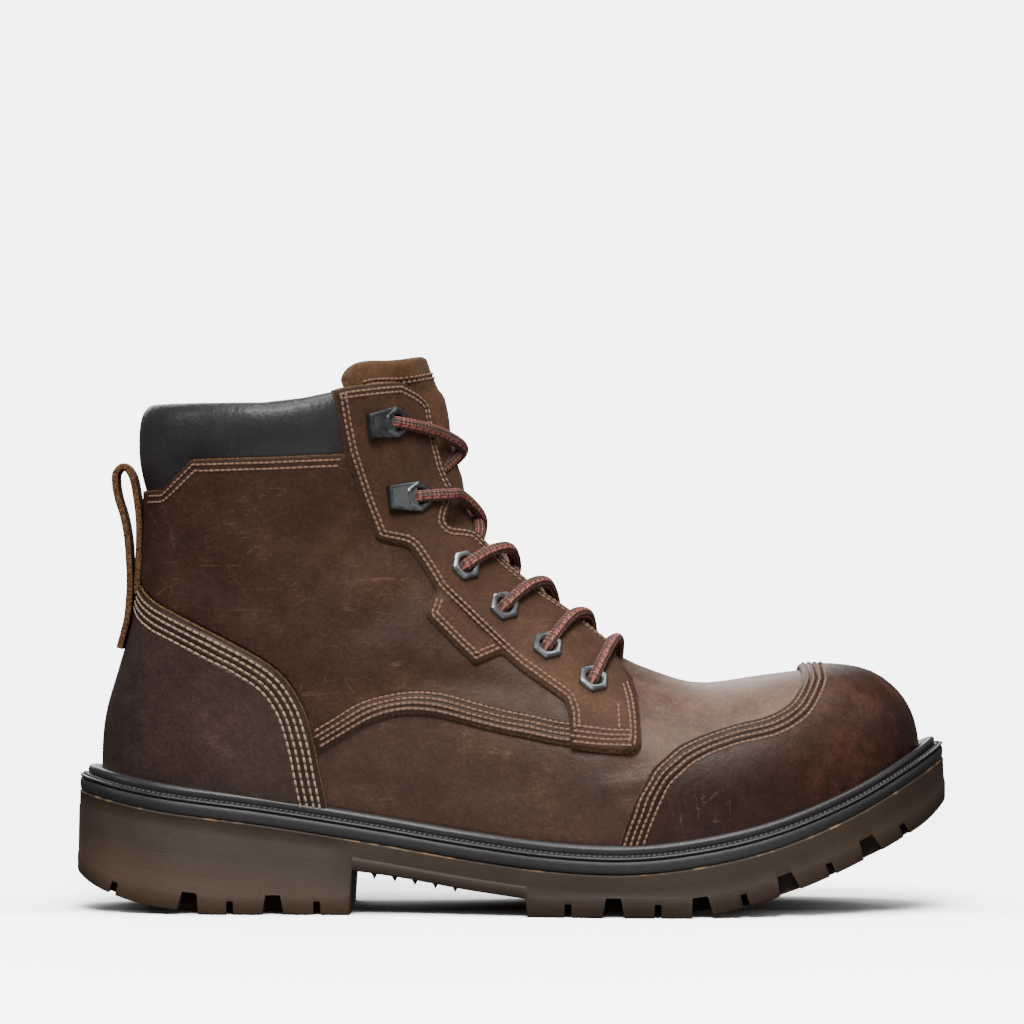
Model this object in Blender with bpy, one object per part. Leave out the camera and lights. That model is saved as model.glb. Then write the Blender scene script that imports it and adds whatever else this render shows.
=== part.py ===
"""Composite toe work boot for the right foot: a six-inch lace-up on a lugged rubber outsole.

Sizes are in millimetres and are scaled to metres when a mesh is made. +X runs to the toe, +Z up, and the
outer (lateral) side of the foot is -Y. The boot stands on Z = 0, centred on the origin.
"""

import math

import bmesh
import bpy
import numpy as np

MM = 0.001
GAP = 0.3  # clearance between pieces that meet

# Driving sizes
LENGTH = 310.0  # outsole, heel to toe
UPPER_WALL = 2.2  # vamp leather with its lining
OVERLAY = 1.9  # leather of the toe cap and the heel counter
PANEL = 1.4  # leather of the quarters and eyestays
WELT_SIDE_REACH = 8.5  # outsole edge to upper, along the sides
WELT_END_REACH = 3.2  # more reach at heel and toe, where the counter and the cap stand in front of the upper
ROLL_HEIGHT = 3.4  # rounded rib of the welt above its stitched shelf
SHELF_DROP = 2.0  # fall of the stitched shelf
SHELF_WIDTH = 3.6
MIDSOLE = 4.5
INSOLE = 3.6
SOLE_TOP = ROLL_HEIGHT + SHELF_DROP  # top of the midsole below the top of the welt
TUCK = SOLE_TOP - GAP  # how far the upper goes down behind the welt
LUG_DEPTH = 6.0
LACE_RADIUS = 2.3
EYELET_FLATS = 10.0
EYELET_THICKNESS = 1.7
EYELET_HOLE = 2.7

# Sole outline seen from above: x, lateral y, medial y, from heel to toe
OUTLINE = (
    (-155, 0, 0),
    (-147, -22, 22),
    (-130, -34, 34),
    (-105, -38.5, 38),
    (-75, -39, 36.5),
    (-45, -40.5, 34),
    (-15, -45, 36.5),
    (15, -52, 44.5),
    (45, -56, 52),
    (75, -55.5, 54.5),
    (105, -49.5, 51.5),
    (130, -37, 42.5),
    (147, -18, 27),
    (155, 5, 5),
)

# Top of the welt, the line where the upper disappears: x, z
FEATHER = (
    (-155, 52.5),
    (-126, 46.5),
    (-88, 41.5),
    (-50, 35.5),
    (-17, 30),
    (12, 26.3),
    (40, 25.2),
    (66, 28),
    (92, 34),
    (118, 44),
    (140, 55.5),
    (155, 64),
)

# Under side of the outsole, heel bevel to toe spring: x, z
HEEL_TREAD = ((-155, 13), (-149, 9.5), (-140, 6), (-126, 2.6), (-112, 0.7), (-104, 0), (-85, 0), (-57, 0))
ARCH_TREAD = ((-56, 15.5), (-38, 13), (-16, 9.2), (4.5, 6.4))
BALL_TREAD = ((5.5, 0), (25, 0), (45, 0), (62, 0))
TOE_TREAD = ((72, 1.4), (84, 4.4), (96, 8.2), (110, 13.4), (124, 19.6), (137, 26), (147, 31.5), (155, 38))

# Sections of the last, toe to collar. Each lies in the plane through its low and high ends.
# foot is 1 where the low end is on the sole and 0 where it is on the back of the heel, at back_z.
SECTION_COLUMNS = (
    "low_x", "back_z", "high_x", "high_z", "foot", "lateral", "medial", "crest_y", "widest", "low_round",
    "high_round",
)
SECTIONS = (
    (143.2, 52.2, 143.3, 53.5, 1, 2.9, 7.0, 5.0, 0.30, 2.0, 2.2),
    (142.2, 51.6, 143.0, 60.5, 1, -2.0, 11.8, 5.0, 0.30, 2.0, 2.3),
    (139.2, 50.0, 140.8, 68.8, 1, -9.7, 19.1, 5.0, 0.30, 2.0, 2.4),
    (133.2, 46.7, 135.6, 76.6, 1, -20.1, 27.9, 5.0, 0.30, 2.0, 2.5),
    (123.8, 41.7, 125.6, 83.0, 1, -30.3, 35.7, 5.0, 0.30, 2.0, 2.5),
    (109.0, 35.1, 109.5, 84.8, 1, -39.5, 42.4, 4.5, 0.28, 2.0, 2.5),
    (90.0, 28.3, 90.0, 82.8, 1, -45.9, 46.5, 4.5, 0.26, 2.0, 2.4),
    (68.0, 23.2, 67.5, 80.0, 1, -49.2, 47.7, 5.0, 0.26, 2.0, 2.2),
    (46.0, 20.4, 51.5, 84.0, 1, -49.3, 45.6, 5.5, 0.26, 2.0, 2.1),
    (24.0, 20.4, 36.0, 91.2, 1, -46.5, 41.2, 5.5, 0.28, 2.0, 2.0),
    (0.0, 22.5, 21.0, 104.3, 1, -41.6, 36.4, 5.0, 0.30, 2.0, 2.0),
    (-28.0, 26.7, 7.0, 116.2, 1, -37.2, 34.0, 4.0, 0.32, 2.0, 2.0),
    (-60.0, 32.0, -4.2, 128.4, 1, -35.8, 34.2, 3.0, 0.36, 2.0, 2.0),
    (-92.0, 37.0, -12.0, 139.2, 1, -36.0, 35.4, 2.0, 0.40, 2.0, 2.0),
    (-120.0, 40.5, -17.3, 148.0, 1, -36.5, 36.2, 1.0, 0.43, 2.0, 2.0),
    (-137.5, 43.6, -20.6, 155.0, 1, -36.8, 36.6, 0.5, 0.45, 2.1, 2.0),
    (-143.2, 44.8, -22.6, 160.0, 1, -36.8, 36.8, 0.0, 0.46, 2.2, 2.0),
    (-144.0, 56.0, -24.2, 164.5, 0, -36.8, 36.8, 0.0, 0.47, 2.2, 2.0),
    (-142.6, 69.5, -25.8, 169.0, 0, -36.8, 36.8, 0.0, 0.47, 2.2, 2.0),
    (-138.2, 85.0, -27.2, 173.5, 0, -37.0, 37.0, 0.0, 0.47, 2.2, 2.0),
    (-133.2, 103.0, -28.7, 178.5, 0, -37.4, 37.4, 0.0, 0.48, 2.2, 2.0),
    (-130.4, 126.0, -30.4, 185.0, 0, -38.2, 38.2, 0.0, 0.48, 2.2, 2.0),
    (-130.0, 152.0, -32.2, 192.5, 0, -39.2, 39.2, 0.0, 0.48, 2.2, 2.0),
    (-130.4, 182.0, -34.6, 202.0, 0, -39.6, 39.6, 0.0, 0.48, 2.2, 2.0),
    (-130.8, 208.0, -37.0, 212.0, 0, -39.6, 39.6, 0.0, 0.48, 2.2, 2.0),
)
SPAN_STEPS = 6  # fine steps between two sections
HALF_STEPS = 24  # fine steps from the sole to the crest
ROW_STRIDE, COLUMN_STRIDE = 6, 3  # of the fine steps, those that a solid keeps

# Panel edges seen from the side: x, z
COUNTER_EDGE = (
    (-134.3, 121.7), (-129.9, 113.8), (-124.2, 108.6), (-114.4, 103.6), (-100.7, 96.6), (-87.4, 89.3),
    (-80, 83.3), (-74.8, 75.8), (-71.8, 68.8), (-69.0, 58.4), (-67.2, 49.2), (-65.2, 40),
)
QUARTER_LOW_EDGE = (
    (-68.2, 56.3), (-59.4, 61.6), (-50.2, 66.9), (-42, 69.4), (-34.8, 70.2), (-25.6, 69.3), (-14.3, 66.3),
    (-4, 63.7), (5, 62), (16.8, 59.6), (30, 58.5), (42.4, 57.8),
)
QUARTER_FRONT_EDGE = ((45, 60.4), (44.8, 70), (44, 76), (42, 82.6), (39.8, 87.5), (38.5, 91))
EYESTAY_REAR_EDGE = (
    (19.8, 59.6), (19.8, 70), (18.1, 75.2), (10.1, 80.7), (2.1, 86.3), (-3.5, 91.5), (-13.2, 87.1),
    (-30.5, 104.8), (-27.7, 112), (-25.7, 113), (-29.7, 119), (-35.9, 128.4), (-47, 131), (-52.3, 143.8),
    (-58.3, 161.5),
)
EYESTAY_TOP_EDGE = ((-64.6, 183.5), (-54, 186), (-43, 187.5), (-35.5, 187.2), (-31.5, 185.2), (-29.5, 181))
COLLAR_SEAM = ((-58.3, 161.5), (-86, 160.3), (-112, 159.5), (-122.5, 148.7), (-150, 148.5))
COLLAR_TOP = ((-150, 178.6), (-118, 179.2), (-86, 179.4), (-72, 181), (-60, 183.6))
CAP_EDGE = (
    (36.5, 22), (37.7, 26.3), (41.1, 35.9), (44.8, 44.2), (48.6, 50.7), (53.4, 55.1), (59.1, 59.2),
    (66.7, 62.4), (77, 65.6), (88.7, 68.5), (96.4, 72.3), (100.4, 76.8), (102.8, 82), (101.5, 85), (99.3, 88),
)

# Throat slot: fine row measured from the toe as a section number, half width
THROAT = ((8.9, 5), (9.2, 9.5), (10, 11.5), (12, 14), (15, 16), (19, 18), (24, 20))
TONGUE_BACK_EDGE = ((48, 70), (30, 76), (0, 92), (-20, 108), (-42, 132), (-50, 158), (-56.5, 182))
TONGUE_TOP_EDGE = ((-56, 188), (-49, 193.8), (-40, 196), (-30, 196.8), (-20, 197))
TONGUE_PAD = 5.0
TONGUE_BULGE = 5.2
TONGUE_SEAT = -(UPPER_WALL + GAP + 1.2)  # face of the tongue under the eyestays, off the last

# Lace holes on the lateral side, bottom to top: x, z, and for a hook its clearance over the eyestay
EYELETS = ((28.8, 83.1), (12.7, 94.7), (-2.4, 108.4), (-15.9, 122.6))
HOOKS = ((-32.4, 146.6, 0.4), (-40.2, 172.6, -0.4))

# Tread cuts: the lugs are parted by wide gaps, and each lug is split at its edge by a slit
HEEL_GAPS = (-113.8, -83.7)
HEEL_SLITS = (-141, -98.8, -68.3)
BALL_GAPS = (35.2, 66.2, 96.8, 126.6)
BALL_SLITS = (19.4, 50.6, 81.5, 112, 139)
GAP_WIDTH, GAP_FLARE = 5.2, 1.3
SLIT_WIDTH, SLIT_DEPTH, SLIT_REACH = 2.2, 4.4, 13.0
CHANNEL_INSET, CHANNEL_WIDTH = 25.0, 4.5
ARCH_RIBS = (-48.5, -41.3, -34.2, -27, -20)
RIB_WIDTH, RIB_HEIGHT, RIB_REACH = 5.0, 3.0, 24.0

# Pull loop at the back of the heel, one strip of leather: x, z of its middle, from the sewn inner end
LOOP_PATH = (
    (-135.6, 117), (-134.7, 124), (-134.4, 136), (-134.6, 147), (-135.6, 154), (-138.6, 157.2),
    (-141.3, 154.6), (-141.4, 150.4), (-140.2, 145.3), (-138.4, 140), (-137.3, 130), (-137.4, 120), (-138, 112),
    (-138.8, 103),
    (-140.6, 92.5),
)
LOOP_THICKNESS, LOOP_WIDTH = 2.2, 17.0


def spline(rows, steps, closed=False):
    """Points on a smooth curve through the rows, with that many steps between two of them."""
    rows = np.asarray(rows, float)
    if closed:
        padded = np.vstack([rows[-1:], rows, rows[:2]])
    else:
        padded = np.vstack([2 * rows[0] - rows[1], rows, 2 * rows[-1] - rows[-2]])
    t = np.arange(steps)[:, None] / steps
    found = []
    for a, b, c, d in zip(padded, padded[1:], padded[2:], padded[3:]):
        bend, twist = 2 * a - 5 * b + 4 * c - d, 3 * b - a - 3 * c + d
        found.append(0.5 * (2 * b + (c - a) * t + bend * t**2 + twist * t**3))
    if not closed:
        found.append(rows[-1:])
    return np.vstack(found)


FEATHER_CURVE = spline(FEATHER, 12)
RIM = spline([(x, y) for x, y, _ in OUTLINE] + [(x, y) for x, _, y in OUTLINE[-2:0:-1]], 16, closed=True)
CENTRE_Y = (RIM[:, 1].min() + RIM[:, 1].max()) / 2


def feather(x):
    """Height of the welt's top at x."""
    return np.interp(x, FEATHER_CURVE[:, 0], FEATHER_CURVE[:, 1])


def rim_inset(inset):
    """Lateral and medial edge of the sole's outline moved inwards, each as points in order of x."""
    ahead, behind = np.roll(RIM, -1, axis=0), np.roll(RIM, 1, axis=0)
    run = ahead - behind
    inward = np.stack([-run[:, 1], run[:, 0]], axis=1) / np.linalg.norm(run, axis=1)[:, None]
    reach = inset(RIM[:, 0]) if callable(inset) else inset
    moved = RIM + inward * np.reshape(reach, (-1, 1))
    heel, toe = moved[:, 0].argmin(), moved[:, 0].argmax()
    lateral = np.roll(moved, -heel, axis=0)[: (toe - heel) % len(moved) + 1]
    medial = np.roll(moved, -toe, axis=0)[: (heel - toe) % len(moved) + 1][::-1]
    return lateral, np.vstack([medial, lateral[:1]]) if medial[0, 0] > lateral[0, 0] else medial


def rim_y(edges, x):
    """Lateral and medial y of such edges at x."""
    return tuple(np.interp(x, edge[:, 0], edge[:, 1]) for edge in edges)


def upper_reach(x):
    """Distance from the sole's edge to the upper."""
    return WELT_SIDE_REACH + WELT_END_REACH * (x / (LENGTH / 2)) ** 4


def welt_opening(x):
    return upper_reach(x) + 0.8


def sole_opening(x):
    return upper_reach(x) + UPPER_WALL + 0.4


def insole_reach(x):
    return sole_opening(x) + GAP


UPPER_EDGES = rim_inset(upper_reach)


def half_section(low_y, wide_y, crest_y, row, height):
    """One side of a section from the low end to the crest, as even steps of (share of the height, y)."""
    turn = np.linspace(0, math.pi / 2, 40)
    low_power, high_power = 2 / row["low_round"], 2 / row["high_round"]
    low_w = row["widest"] * (1 - np.cos(turn) ** low_power)
    low_part = np.stack([low_w, low_y + (wide_y - low_y) * np.sin(turn) ** low_power], axis=1)
    high_w = row["widest"] + (1 - row["widest"]) * np.sin(turn) ** high_power
    high_part = np.stack([high_w, crest_y + (wide_y - crest_y) * np.cos(turn) ** high_power], axis=1)
    line = np.vstack([low_part, high_part[1:]])
    run = np.hypot(np.diff(line[:, 0]) * height, np.diff(line[:, 1]))
    along = np.concatenate([[0], np.cumsum(run)]) / run.sum()
    even = np.linspace(0, 1, HALF_STEPS + 1)
    return np.stack([np.interp(even, along, line[:, 0]), np.interp(even, along, line[:, 1])], axis=1)


def section_points(values):
    """One section of the last: from the lateral low end over the crest to the medial low end."""
    row = dict(zip(SECTION_COLUMNS, values))
    on_sole = min(max(row["foot"], 0), 1)
    sole_z = feather(row["low_x"]) - TUCK
    low = np.array([row["low_x"], on_sole * sole_z + (1 - on_sole) * row["back_z"]])
    high = np.array([row["high_x"], row["high_z"]])
    low_lateral, low_medial = (on_sole * y for y in rim_y(UPPER_EDGES, row["low_x"]))
    height = np.linalg.norm(high - low)
    sides = (
        half_section(low_lateral, row["lateral"], row["crest_y"], row, height),
        half_section(low_medial, row["medial"], row["crest_y"], row, height)[-2::-1],
    )
    w, y = np.vstack(sides).T
    side_view = low + w[:, None] * (high - low)
    return np.stack([side_view[:, 0], y, side_view[:, 1]], axis=1)


def last_surface():
    """Fine points of the last's outer surface and their outward normals, section by section."""
    points = np.array([section_points(values) for values in spline(SECTIONS, SPAN_STEPS)])
    along = np.gradient(points, axis=0)
    around = np.gradient(points, axis=1)
    normals = np.cross(around, along)
    back_seam = np.abs(points[:, 0, 1] - points[:, -1, 1]) < 1.5
    normals[np.ix_(back_seam, [0, -1], [1])] = 0
    normals[0] = (1, 0, 0)
    return points, normals / np.linalg.norm(normals, axis=2, keepdims=True)


LAST, LAST_NORMALS = last_surface()
CREST = HALF_STEPS  # column of the crest


def crest_row(section):
    """Fine row of a section number, which may lie between two sections."""
    return section * SPAN_STEPS


def on_crest(row, y, lift):
    """Point of the last at a fine row and a y near the crest, lifted off the surface."""
    low = int(min(row, len(LAST) - 2))
    share = row - low
    line = LAST[low] * (1 - share) + LAST[low + 1] * share
    normals = LAST_NORMALS[low] * (1 - share) + LAST_NORMALS[low + 1] * share
    near = slice(CREST - 14, CREST + 15)
    at = [np.interp(y, line[near, 1], values) for values in (*line[near].T, *normals[near].T)]
    return np.array(at[:3]) + lift * np.array(at[3:])


def on_side(x, z, side):
    """Point of the last and its normal where it shows at x, z from that side: -1 lateral, 1 medial."""
    columns = slice(0, CREST + 1) if side < 0 else slice(CREST, None)
    points, normals = LAST[:, columns], LAST_NORMALS[:, columns]
    miss = np.hypot(points[..., 0] - x, points[..., 2] - z)
    i, j = np.unravel_index(miss.argmin(), miss.shape)
    i, j = min(max(i, 1), points.shape[0] - 2), min(max(j, 1), points.shape[1] - 2)
    across = np.stack([points[i + 1, j] - points[i - 1, j], points[i, j + 1] - points[i, j - 1]], axis=1) / 2
    steps = np.linalg.solve(across[[0, 2]], np.array([x, z]) - points[i, j, [0, 2]])
    return points[i, j] + across @ steps, normals[i, j]


def throat_half_width(row):
    table = np.array(THROAT, float)
    return np.interp(row / SPAN_STEPS, table[:, 0], table[:, 1])


# Blender objects


def new_collection(name):
    collection = bpy.data.collections.new(name)
    bpy.context.scene.collection.children.link(collection)
    return collection


def clear_scene():
    for obj in list(bpy.data.objects):
        bpy.data.objects.remove(obj)


clear_scene()
PARTS = new_collection("work_boot")
CUTTERS = new_collection("cutters")


def material(name, hex_colour, roughness, metallic=0.0):
    made = bpy.data.materials.new(name)
    made.use_nodes = True
    shader = made.node_tree.nodes["Principled BSDF"]
    srgb = [int(hex_colour[i : i + 2], 16) / 255 for i in (0, 2, 4)]
    linear = [c / 12.92 if c <= 0.04045 else ((c + 0.055) / 1.055) ** 2.4 for c in srgb]
    shader.inputs["Base Color"].default_value = (*linear, 1)
    shader.inputs["Roughness"].default_value = roughness
    shader.inputs["Metallic"].default_value = metallic
    return made


OILED_LEATHER = material("oiled_leather", "57392b", 0.5)
DARK_LEATHER = material("burnished_leather", "48302a", 0.42)
NUBUCK = material("nubuck_panel", "5b432f", 0.65)
COLLAR_LEATHER = material("collar_leather", "2e2c2d", 0.5)
GUM_RUBBER = material("gum_rubber", "5a4b3f", 0.6)
BLACK_RUBBER = material("black_rubber", "35353a", 0.4)
FOOTBED = material("footbed_felt", "6a6259", 0.9)
GUNMETAL = material("gunmetal", "4a4d50", 0.35, 0.9)
LACE_CORD = material("lace_cord", "6b3a34", 0.7)


def shade(mesh):
    mesh.shade_smooth()
    mesh.set_sharp_from_angle(angle=math.radians(32))


def new_object(name, mesh, finish):
    """A part with its finish, or a hidden cutter where there is none."""
    obj = bpy.data.objects.new(name, mesh)
    if finish:
        mesh.materials.append(finish)
        PARTS.objects.link(obj)
    else:
        obj.hide_render = True
        obj.display_type = "WIRE"
        CUTTERS.objects.link(obj)
    return obj


def loft(name, rings, finish=None):
    """A closed solid through rings of points, with both ends capped."""
    rings = (np.asarray(rings, float) - (0, CENTRE_Y, 0)) * MM
    bm = bmesh.new()
    rows = [[bm.verts.new(point) for point in ring] for ring in rings]
    count = len(rows[0])
    for low, high in zip(rows, rows[1:]):
        for i in range(count):
            bm.faces.new((low[i], low[(i + 1) % count], high[(i + 1) % count], high[i]))
    bm.faces.new(rows[0])
    bm.faces.new(rows[-1])
    bmesh.ops.remove_doubles(bm, verts=bm.verts, dist=0.02 * MM)
    bmesh.ops.triangulate(bm, faces=bm.faces)
    bmesh.ops.dissolve_degenerate(bm, dist=0.005 * MM, edges=bm.edges)
    bmesh.ops.recalc_face_normals(bm, faces=bm.faces)
    mesh = bpy.data.meshes.new(name)
    bm.to_mesh(mesh)
    bm.free()
    shade(mesh)
    return new_object(name, mesh, finish)


def side_prism(name, outline, y_from, y_to):
    """A cutter with an outline seen from the side, from one y to another."""
    rings = [[(x, y, z) for x, z in outline] for y in (y_from, y_to)]
    return loft(name, rings)


def cut(obj, *cutters, operation="DIFFERENCE"):
    for cutter in cutters:
        modifier = obj.modifiers.new(operation.lower() + "_" + cutter.name, "BOOLEAN")
        modifier.operation = operation
        modifier.object = cutter
    return obj


def form(name, offset, finish=None, first_row=0, column_stride=COLUMN_STRIDE):
    """The last grown by an offset, as a solid."""
    rows = list(range(first_row, len(LAST) - 1, ROW_STRIDE)) + [len(LAST) - 1]
    grown = LAST + LAST_NORMALS * (offset if np.isscalar(offset) else offset[..., None])
    return loft(name, grown[rows][:, ::column_stride], finish)


# Sole layers


def stations(edges):
    """Places along the foot, closer together at the round ends."""
    turn = np.linspace(0, math.pi, 31)
    low, high = edges[0][0, 0], edges[0][-1, 0]
    return (low + high) / 2 - (high - low) / 2 * np.cos(turn)


def plate(name, levels, finish=None):
    """A sole layer from levels of (inset, depth below the feather line), bottom first."""
    loops = []
    for inset, drop in levels:
        edges = rim_inset(inset)
        x = stations(edges)
        lateral, medial = rim_y(edges, x)
        loops.append((x, lateral, medial, feather(x) - drop))
    return strip_solid(name, loops, finish)


def strip_solid(name, loops, finish):
    """Stacked loops of lateral and medial points at shared stations, closed above and below by strips."""
    rings = []
    for i in range(len(loops[0][0])):
        lateral = [(loop[0][i], loop[1][i], loop[3][i]) for loop in loops]
        medial = [(loop[0][i], loop[2][i], loop[3][i]) for loop in reversed(loops)]
        rings.append(lateral + medial)
    return loft(name, rings, finish)


def outsole():
    """The lugged rubber unit: heel block, raised arch and forefoot in one moulding."""
    tread = np.vstack([spline(part, 2) for part in (HEEL_TREAD, ARCH_TREAD, BALL_TREAD, TOE_TREAD)])
    tread[:, 1] = np.maximum(tread[:, 1], 0)
    ends = LENGTH / 2 - np.array([0.3, 1.3, 3.2])
    extra = np.concatenate([-ends, ends])
    extra_z = np.interp(extra, tread[:, 0], tread[:, 1])
    tread = np.vstack([tread, np.stack([extra, extra_z], axis=1)])
    tread = tread[np.argsort(tread[:, 0], kind="stable")]
    x, low_z = tread.T
    step = 5.0
    loops = []
    for inset, drop in ((0, None), (0.8, step + 0.5), (1.5, step), (1.5, 0)):
        edges = rim_inset(inset)
        squeezed = x * edges[0][-1, 0] / (LENGTH / 2)
        lateral, medial = rim_y(edges, squeezed)
        z = low_z if drop is None else feather(squeezed) - SOLE_TOP - MIDSOLE - GAP - drop
        loops.append((squeezed, lateral, medial, z))
    body = strip_solid("outsole", loops, GUM_RUBBER)

    def tread_z(at):
        return np.interp(at, x, low_z)

    def across(name, at, width, flare, depth, y_from, y_to):
        """A cutter across the tread, square to the rolling line."""
        slope = math.atan2(tread_z(at + 3) - tread_z(at - 3), 6)
        run = np.array([math.cos(slope), math.sin(slope)])
        rise = np.array([-run[1], run[0]])
        foot = np.array([at, tread_z(at)])
        mouth = width / 2 + 2 * flare
        corners = ((-width / 2, depth), (width / 2, depth), (mouth, -depth), (-mouth, -depth))
        return side_prism(name, [foot + run * a + rise * b for a, b in corners], y_from, y_to)

    beyond = 90
    for i, at in enumerate(HEEL_GAPS + BALL_GAPS):
        cut(body, across(f"lug_gap_{i}", at, GAP_WIDTH, GAP_FLARE, LUG_DEPTH, -beyond, beyond))
    edges = rim_inset(0)
    for i, at in enumerate(HEEL_SLITS + BALL_SLITS):
        lateral, medial = rim_y(edges, at)
        reach = min(SLIT_REACH, (medial - lateral) / 2 - 3)
        cut(body, across(f"lateral_slit_{i}", at, SLIT_WIDTH, 0.2, SLIT_DEPTH, -beyond, lateral + reach))
        cut(body, across(f"medial_slit_{i}", at, SLIT_WIDTH, 0.2, SLIT_DEPTH, medial - reach, beyond))
    for i, (start, end) in enumerate(((-128, -50), (0, 122))):
        for side, sign in enumerate((1, -1)):
            rings = []
            for at in np.linspace(start, end, 12):
                edge = rim_y(edges, at)[side] + sign * CHANNEL_INSET
                top = tread_z(at) + LUG_DEPTH - 1.0 if not -57 < at < 6 else LUG_DEPTH - 1.0
                corners = ((0, -4), (CHANNEL_WIDTH, -4), (CHANNEL_WIDTH, top), (0, top))
                rings.append([(at, edge + sign * dy, z) for dy, z in corners])
            cut(body, loft(f"lug_channel_{i}_{side}", rings))
    for i, at in enumerate(ARCH_RIBS):
        top = tread_z(at)
        corners = ((at - RIB_WIDTH / 2, top + 2), (at + RIB_WIDTH / 2, top + 1.6), (at, top - RIB_HEIGHT))
        cut(body, side_prism(f"arch_rib_{i}", corners, -RIB_REACH, RIB_REACH - 4), operation="UNION")
    return body


def sole_layers():
    outsole()
    band = ((1.3, SOLE_TOP + MIDSOLE), (0.9, SOLE_TOP + MIDSOLE * 0.5), (1.3, SOLE_TOP))
    plate("midsole", band, BLACK_RUBBER)
    roll = SHELF_WIDTH + 0.6
    profile = (
        (0.9, TUCK), (1.2, TUCK - 0.8), (roll, ROLL_HEIGHT + 0.2), (roll - 0.3, ROLL_HEIGHT * 0.62),
        (roll + 0.3, ROLL_HEIGHT * 0.2), (roll + 2.0, 0), (roll + 10, 0),
    )
    welt = plate("welt", profile, BLACK_RUBBER)
    cut(welt, form("upper_clearance", GAP), plate("welt_opening", ((welt_opening, 30), (welt_opening, -30))))

    low, high = SOLE_TOP - GAP, SOLE_TOP - GAP - INSOLE
    plate("insole", ((insole_reach, low), (insole_reach, high)), FOOTBED)


# Upper and its overlays


def throat_cutter():
    """The slot between the eyestays, from the vamp to above the collar."""
    first, last = crest_row(THROAT[0][0]), len(LAST) - 1
    rings = []
    for row in np.linspace(first, last, 22):
        half = throat_half_width(row)
        low = int(min(row, len(LAST) - 2))
        share = row - low
        section = LAST[low] * (1 - share) + LAST[low + 1] * share
        crest = section[CREST]
        inward = (section[0] + section[-1]) / 2 - crest
        inward[1] = 0
        inward /= np.linalg.norm(inward)
        deep, clear = crest + inward * 26, crest - inward * 16
        rings.append([deep - (0, half, 0), deep + (0, half, 0), clear + (0, half, 0), clear - (0, half, 0)])
    return loft("throat", rings)


def upper():
    """Vamp and shaft in one hollow wall, open at the throat, the collar and underneath."""
    wall = form("upper", 0.0, OILED_LEATHER)
    bottom = plate("sole_opening", ((sole_opening, 30), (sole_opening, 0)))
    line = [(-170, 148.5), *COLLAR_SEAM[::-1][1:], *EYESTAY_TOP_EDGE[:-1]]
    topline = [*line, (30, 185.2), (30, 260), (-170, 260)]
    above = side_prism("above_topline", topline, -90, 90)
    return cut(wall, above, throat_cutter(), bottom, form("upper_inside", -UPPER_WALL))


def overlay(name, low, high, outline, finish, y_from=-90.0, y_to=90.0, cutters=()):
    """A panel of leather between two offsets of the last, inside an outline seen from the side."""
    panel = form(name, high, finish)
    cut(panel, side_prism(name + "_outline", outline, y_from, y_to), operation="INTERSECT")
    return cut(panel, *cutters, form(name + "_inside", low))


def overlays():
    throat = bpy.data.objects["throat"]
    x = np.linspace(-165, 165, 23)
    welt_line = [(at, feather(at) + 0.4) for at in x] + [(165, -20), (-165, -20)]
    below_welt = side_prism("below_welt", welt_line, -90, 90)
    cap = [*CAP_EDGE, (99.3, 120), (170, 120), (170, 10), (36.5, 10)]
    overlay("toe_cap", GAP, GAP + OVERLAY, cap, DARK_LEATHER, cutters=[below_welt])
    counter = [(-160, 121.7), *COUNTER_EDGE, (-65.2, 10), (-160, 10)]
    overlay("heel_counter", GAP, GAP + OVERLAY, counter, DARK_LEATHER, cutters=[below_welt])
    quarter = [
        *QUARTER_LOW_EDGE, *QUARTER_FRONT_EDGE, (38.5, 200), (-20, 200), *EYESTAY_TOP_EDGE[::-1],
        *COLLAR_SEAM, (-160, 148.5), (-160, 122), *[(at + 0.2, z + 0.25) for at, z in COUNTER_EDGE[:-2]],
    ]
    eyestay = [
        *EYESTAY_REAR_EDGE, *EYESTAY_TOP_EDGE, (-20, 200), (38.5, 200), *QUARTER_FRONT_EDGE[::-1],
        (42.4, 57.8),
    ]
    under = 2 * GAP + PANEL + 0.1
    for side, y_from, y_to in (("lateral", -90, -GAP / 2), ("medial", GAP / 2, 90)):
        overlay(f"quarter_{side}", GAP, GAP + PANEL, quarter, OILED_LEATHER, y_from, y_to, [throat])
        overlay(f"eyestay_{side}", under, under + PANEL, eyestay, NUBUCK, y_from, y_to, [throat])


def collar():
    """The padded leather roll round the top of the shaft, between the two eyestays."""
    columns = [*range(18, 0, -2), 0, *range(2, 19, 2)]
    shaft = range(crest_row(16), len(LAST))
    seam = np.array(COLLAR_SEAM[::-1], float)
    top = np.array(COLLAR_TOP, float)
    outer_pad, inner_pad = 2.8, 5.0
    rings = []
    for k, column in enumerate(columns):
        side = column if k <= columns.index(0) else 2 * CREST - column
        line, normals = LAST[shaft, side], LAST_NORMALS[shaft, side]
        x = np.interp(165, line[:, 2], line[:, 0])
        low = np.interp(x, seam[:, 0], seam[:, 1]) - 2
        high = np.interp(x, top[:, 0], top[:, 1])
        ring = []
        for share, outward in (
            (-0.2, 0.2), (0.15, 0.5), (0.4, 1), (0.7, 0.95), (0.9, 0.55), (1, -0.35),
            (0.96, -1.2), (0.75, -1.5), (0.4, -1.5), (-0.2, -1.3),
        ):
            z = low + share * (high - low)
            pad = outward * (outer_pad if outward > 0 else inner_pad)
            at = [np.interp(z, line[:, 2], values) for values in (*line.T, *normals.T)]
            ring.append(np.array(at[:3]) + pad * np.array(at[3:]))
        rings.append(ring)
    pad = loft("collar", rings, COLLAR_LEATHER)
    shoulder = [(x, z + GAP) for x, z in COLLAR_SEAM[::-1]]
    end = [*shoulder[:-1], (-58.7, 161.8), (-65.1, 183.5), (-67, 205), (0, 205), (0, 100), (-150, 100)]
    return cut(pad, side_prism("collar_end", end, -90, 90))


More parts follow.
